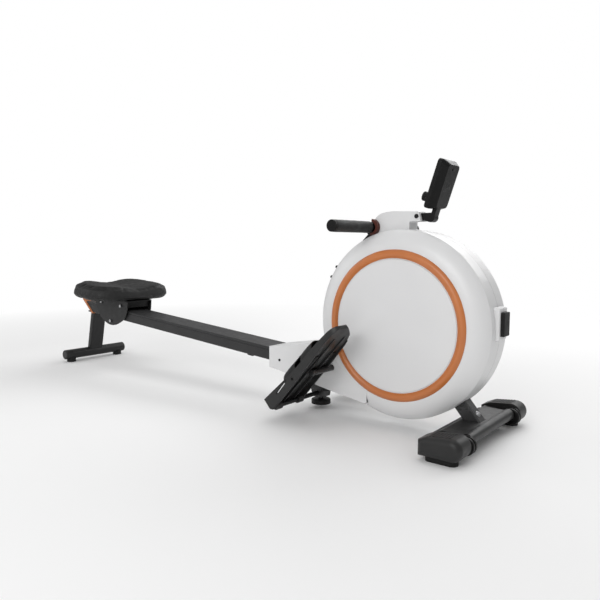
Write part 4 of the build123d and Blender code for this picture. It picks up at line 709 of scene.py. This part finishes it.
# ======== console: display, legends, screws ========
CONSOLE_TILT = radians(18.6)
console_up = Vector((sin(CONSOLE_TILT), 0, cos(CONSOLE_TILT)))
console_out = Vector((-cos(CONSOLE_TILT), 0, sin(CONSOLE_TILT)))
RIGHT = Vector((0, -1, 0))             # to the right, for someone who reads the console


def middle_of(node):
    low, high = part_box(node)
    return (low + high) / 2


lens_middle = middle_of("display_lens")
lens_face = lens_middle + console_out * 1 * MM


def segment_zero(centre, height, depth):
    """Bars of a calculator's zero."""
    half_h, half_w, bar = height / 2, height / 4, height / 9
    bars = (
        (0, half_h, True), (half_w, half_h / 2, False), (half_w, -half_h / 2, False),
        (0, -half_h, True), (-half_w, -half_h / 2, False), (-half_w, half_h / 2, False),
    )
    shapes = []
    for x, y, flat in bars:
        size = (half_w * 1.7, bar, depth) if flat else (bar, half_h * 0.85, depth)
        shapes.append(block(centre + RIGHT * x + console_up * y, RIGHT, console_up, console_out, size))
    return shapes


def make_display():
    """Grey-green panel behind the window's frame, with plain numbers on it."""
    rim, panel_w, panel_h = 5 * MM, 50 * MM, 44 * MM
    panel_at = lens_face + console_out * 0.15 * MM
    panel = block(panel_at, RIGHT, console_up, console_out, (panel_w, panel_h, 0.5 * MM))
    bevelled(piece("display_panel", *panel, "console", "lens", lcd_glass), 0.15 * MM)
    shapes = []
    printed = lens_face + console_out * 0.45 * MM
    for up, height, digits in ((11 * MM, 13 * MM, 4), (-9 * MM, 8 * MM, 3)):
        for k in range(digits):
            across = (k - (digits - 1) / 2) * height * 0.82
            centre = printed + RIGHT * across + console_up * up
            shapes += segment_zero(centre, height, 0.15 * MM)
    line = printed + console_up * 1.5 * MM
    shapes.append(block(line, RIGHT, console_up, console_out, (panel_w - 2 * rim, 0.5 * MM, 0.15 * MM)))
    piece("display_digits", *joined(shapes), "console", "black_plastic", smooth=False)


make_display()

knob_middle = middle_of("resistance_knob")
TICKS_R, POINTER_RISE = 14.4 * MM, 11.3 * MM


def make_knob_marks():
    """Rising row of ticks round the knob, and a pale pointer on its cap."""
    face_from = (knob_middle - lens_middle).dot(console_out)
    on_face = knob_middle - console_out * (face_from - 1.05 * MM)
    shapes = []
    for k in range(9):
        a = radians(225 - 270 * k / 8)
        out = RIGHT * cos(a) + console_up * sin(a)
        length = (1.4 + 0.22 * k) * MM
        centre = on_face + out * (TICKS_R + length / 2)
        size = (0.7 * MM, length, 0.2 * MM)
        shapes.append(block(centre, out.cross(console_out), out, console_out, size))
    piece("knob_ticks", *joined(shapes), "console", "black_plastic", print_ink, smooth=False)
    turn = radians(225)
    out = RIGHT * cos(turn) + console_up * sin(turn)
    centre = knob_middle + console_out * POINTER_RISE + out * 7 * MM
    size = (1.6 * MM, 8 * MM, 0.5 * MM)
    pointer = block(centre, out.cross(console_out), out, console_out, size)
    bevelled(piece("knob_pointer", *pointer, "resistance_knob", "black_plastic", print_ink), 0.2 * MM)


make_knob_marks()

door_middle = middle_of("battery_door")
SCREW_ACROSS, SCREW_UPS = 27, (-69, 35)
DOOR_RIBS, RIB_PITCH, RIB_FIRST = 5, 3.2, -22


def make_console_back():
    """Screws at the case's corners, grip lines on the battery door and its thumb latch."""
    screws = []
    for across in (-SCREW_ACROSS, SCREW_ACROSS):
        for up in SCREW_UPS:
            centre = door_middle + RIGHT * across * MM + console_up * up * MM + console_out * 0.9 * MM
            screws.append(socket_screw(centre, -console_out, 2.6 * MM, 1.2 * MM))
    piece("console_screws", *joined(screws), "console", "black_oxide")
    ribs = []
    for k in range(DOOR_RIBS):
        centre = door_middle + console_up * (RIB_FIRST + RIB_PITCH * k) * MM - console_out * 2.1 * MM
        ribs.append(block(centre, RIGHT, console_up, console_out, (22 * MM, 1.3 * MM, 1.2 * MM)))
    bevelled(piece("battery_door_ribs", *joined(ribs), "console", "black_plastic"), 0.4 * MM)
    latch = door_middle + console_up * 29.5 * MM - console_out * 2.2 * MM
    shape = block(latch, RIGHT, console_up, console_out, (14 * MM, 6 * MM, 2.4 * MM))
    bevelled(piece("battery_door_latch", *shape, "console", "black_plastic"), 0.8 * MM)


make_console_back()

# ======== front foot: grip pads, post bolts ========
cap_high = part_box("stabiliser_caps")[1]
NOSE_R = 29 * MM
nose = Vector((cap_high.x - NOSE_R, 0, 41 * MM))
DECK_FROM, DECK_TO = (nose.x, nose.z + NOSE_R), (866 * MM, 63 * MM)


CAP_ROWS, CAP_COLUMNS = 7, 6
CAP_STEP, CAP_ASIDE = 8.4, 7.2       # pitch of the blocks along and across the cap, mm
CAP_FIRST, CAP_MIDDLE_Y = 6, cap_high.y - 36 * MM


def make_cap_grips():
    """Small raised grip blocks on top of both foot caps."""
    run = Vector((DECK_TO[0] - DECK_FROM[0], 0, DECK_TO[1] - DECK_FROM[1]))
    along = run.normalized()
    up = Vector((0, 1, 0)).cross(along)
    up = up if up.z > 0 else -up
    deck = Vector((DECK_FROM[0], 0, DECK_FROM[1]))
    for name, side in (("cap_grip_left", 1), ("cap_grip_right", -1)):
        shapes = []
        for row in range(CAP_ROWS):
            for column in range(CAP_COLUMNS):
                place = deck + along * (CAP_FIRST + CAP_STEP * row) * MM + up * 0.25 * MM
                place.y = side * (CAP_MIDDLE_Y + (column - (CAP_COLUMNS - 1) / 2) * CAP_ASIDE * MM)
                shapes.append(block(place, along, (0, 1, 0), up, (6.4 * MM, 5.2 * MM, 1.7 * MM)))
        # The grip blocks take the caps' lighter copy of the black plastic, a painted highlight.
        bevelled(piece(name, *joined(shapes), "frame", "black_plastic", highlit_cap_plastic), 0.5 * MM)


make_cap_grips()

POST_HEAD, POST_FOOT = Vector((788 * MM, 0, 179 * MM)), Vector((905 * MM, 0, 42 * MM))
POST_HALF = 19 * MM
FOOT_BOLT_UP, HEAD_BOLT_DOWN = 26 * MM, 88 * MM
post_dir = (POST_FOOT - POST_HEAD).normalized()
post_front = Vector((-post_dir.z, 0, post_dir.x))


def make_post_fittings():
    """Zinc bolts with washers, one on the post's front face and one on its side."""
    shapes = []
    foot_bolt = POST_FOOT - post_dir * FOOT_BOLT_UP + post_front * POST_HALF
    washer = [(-0.5 * MM, 8.5 * MM), (1.3 * MM, 8.5 * MM), (1.4 * MM, 5 * MM)]
    shapes.append(lathe(foot_bolt, post_front, washer, 32))
    shapes.append(socket_screw(foot_bolt + post_front * 1.3 * MM, post_front, 6.5 * MM, 4.0 * MM))
    head_bolt = POST_HEAD + post_dir * HEAD_BOLT_DOWN + Vector((0, -POST_HALF, 0)) - post_front * 6 * MM
    washer = [(-0.5 * MM, 9 * MM), (1.5 * MM, 9 * MM), (1.6 * MM, 5 * MM)]
    shapes.append(lathe(head_bolt, (0, -1, 0), washer, 32))
    shapes.append(socket_screw(head_bolt + Vector((0, -1.5 * MM, 0)), (0, -1, 0), 7.0 * MM, 5.0 * MM))
    piece("post_bolts", *joined(shapes), "frame", "steel")


make_post_fittings()


# ======== rail: ribbed end cap ========
RAKE_TOP, RAKE_BOTTOM = Vector((-955 * MM, 0, 284 * MM)), Vector((-880 * MM, 0, 219 * MM))


RIB_SHARES = (0.13, 0.36, 0.59, 0.82)   # places of the ridges down the rake
RIB_SIZE = (11 * MM, 84 * MM, 9 * MM)


def make_end_cap_ribs():
    """Rounded ridges across the raked end cap."""
    rake = RAKE_BOTTOM - RAKE_TOP
    along = rake.normalized()
    out = Vector((along.z, 0, -along.x))
    shapes = []
    for share in RIB_SHARES:
        centre = RAKE_TOP + rake * share + out * 1.5 * MM
        shapes.append(block(centre, along, (0, 1, 0), out, RIB_SIZE))
    bevelled(piece("end_cap_ribs", *joined(shapes), "frame", "orange_cap"), 3.4 * MM, 4)


make_end_cap_ribs()


# ======== studio ========
def sweep(name, colour, white_from, white_to):
    """Pale matt floor under the object that turns into the white of the backdrop further out."""
    s = Surface(name, Roughness=0.9, Specular_IOR_Level=0.1)
    tone = s.blended(s.noise(1.5, 2.0), colour, tuple(c * 0.99 for c in colour[:3]) + (1.0,))
    s.done(tone)
    out = s.tree.nodes["Material Output"]
    away = s.node("ShaderNodeVectorMath", {0: s.place}, operation="LENGTH").outputs["Value"]
    seen = s.node("ShaderNodeLightPath").outputs["Is Camera Ray"]
    share = s.maths("MULTIPLY", s.spread(away, white_from, white_to, 0.0, 1.0), seen)
    white = s.node("ShaderNodeEmission", {"Color": (1.0, 1.0, 1.0, 1.0), "Strength": 1.0})
    both = s.node("ShaderNodeMixShader", {0: share, 1: s.shader.outputs[0], 2: white.outputs[0]})
    s.tree.links.new(both.outputs[0], out.inputs["Surface"])
    return s.material


FLOOR_COLOUR, FLOOR_HALF = (0.92, 0.92, 0.92, 1.0), 30.0
WHITE_FROM, WHITE_TO = 1.5, 3.2         # distances over which the floor turns white


def make_floor():
    size = FLOOR_HALF
    mesh = bpy.data.meshes.new("floor")
    corners = [(-size, -size, 0), (size, -size, 0), (size, size, 0), (-size, size, 0)]
    mesh.from_pydata(corners, [], [(0, 1, 2, 3)])
    floor = bpy.data.objects.new("floor", mesh)
    bpy.context.scene.collection.objects.link(floor)
    mesh.materials.append(sweep("pale_floor", FLOOR_COLOUR, WHITE_FROM, WHITE_TO))


def soft_light(name, place, target, size, watts):
    lamp = bpy.data.lights.new(name, "AREA")
    lamp.shape, lamp.size, lamp.size_y, lamp.energy = "RECTANGLE", size[0], size[1], watts
    holder = bpy.data.objects.new(name, lamp)
    bpy.context.scene.collection.objects.link(holder)
    holder.location = place
    holder.rotation_euler = (Vector(target) - Vector(place)).to_track_quat("-Z", "Y").to_euler()


def make_backdrop():
    """White behind the object; dimmer, above all near the horizon, as light and in reflections."""
    world = bpy.data.worlds.new("studio")
    world.use_nodes = True
    tree = world.node_tree
    around = tree.nodes["Background"]
    behind = tree.nodes.new("ShaderNodeBackground")
    behind.inputs["Color"].default_value = (1.0, 1.0, 1.0, 1.0)
    behind.inputs["Strength"].default_value = 1.0
    ray = tree.nodes.new("ShaderNodeLightPath")
    place = tree.nodes.new("ShaderNodeTexCoord")
    split = tree.nodes.new("ShaderNodeSeparateXYZ")
    rise = tree.nodes.new("ShaderNodeMapRange")
    choice = tree.nodes.new("ShaderNodeMixShader")
    for socket, value in zip(rise.inputs[1:5], (0.0, 0.7, 0.30, 0.55)):
        socket.default_value = value
    links = tree.links
    links.new(place.outputs["Generated"], split.inputs[0])
    links.new(split.outputs["Z"], rise.inputs[0])
    links.new(rise.outputs[0], around.inputs["Strength"])
    around.inputs["Color"].default_value = (1.0, 1.0, 1.0, 1.0)
    links.new(ray.outputs["Is Camera Ray"], choice.inputs[0])
    links.new(around.outputs[0], choice.inputs[1])
    links.new(behind.outputs[0], choice.inputs[2])
    links.new(choice.outputs[0], tree.nodes["World Output"].inputs["Surface"])
    bpy.context.scene.world = world


def make_studio():
    make_floor()
    make_backdrop()
    bpy.context.scene.view_settings.view_transform = "Standard"
    centre = (0.1, 0.0, 0.3)
    soft_light("key", (0.9, -3.9, 1.9), centre, (2.4, 1.8), 62.0)
    soft_light("fill", (-3.0, -2.2, 1.8), centre, (2.4, 1.8), 16.0)
    soft_light("top", (0.4, 0.6, 3.4), centre, (2.6, 2.0), 20.0)
    soft_light("rim", (0.3, 3.4, 2.4), centre, (5.0, 1.3), 70.0)


CAMERA_AT = (1.498, -1.485, 0.524)
CAMERA_AZIMUTH, CAMERA_DOWN = radians(39.18), radians(5.36)
LENS_MM, SENSOR_MM = 35.0, 36.0


def make_camera():
    lens = bpy.data.cameras.new("camera")
    lens.lens, lens.sensor_width = LENS_MM, SENSOR_MM
    lens.clip_start, lens.clip_end = 0.05, 100.0
    camera = bpy.data.objects.new("camera", lens)
    bpy.context.scene.collection.objects.link(camera)
    azimuth, down = CAMERA_AZIMUTH, CAMERA_DOWN
    forward = Vector((-sin(azimuth) * cos(down), cos(azimuth) * cos(down), -sin(down)))
    camera.rotation_mode = "QUATERNION"
    camera.rotation_quaternion = forward.to_track_quat("-Z", "Y")
    camera.location = CAMERA_AT
    bpy.context.scene.camera = camera


make_studio()
make_camera()
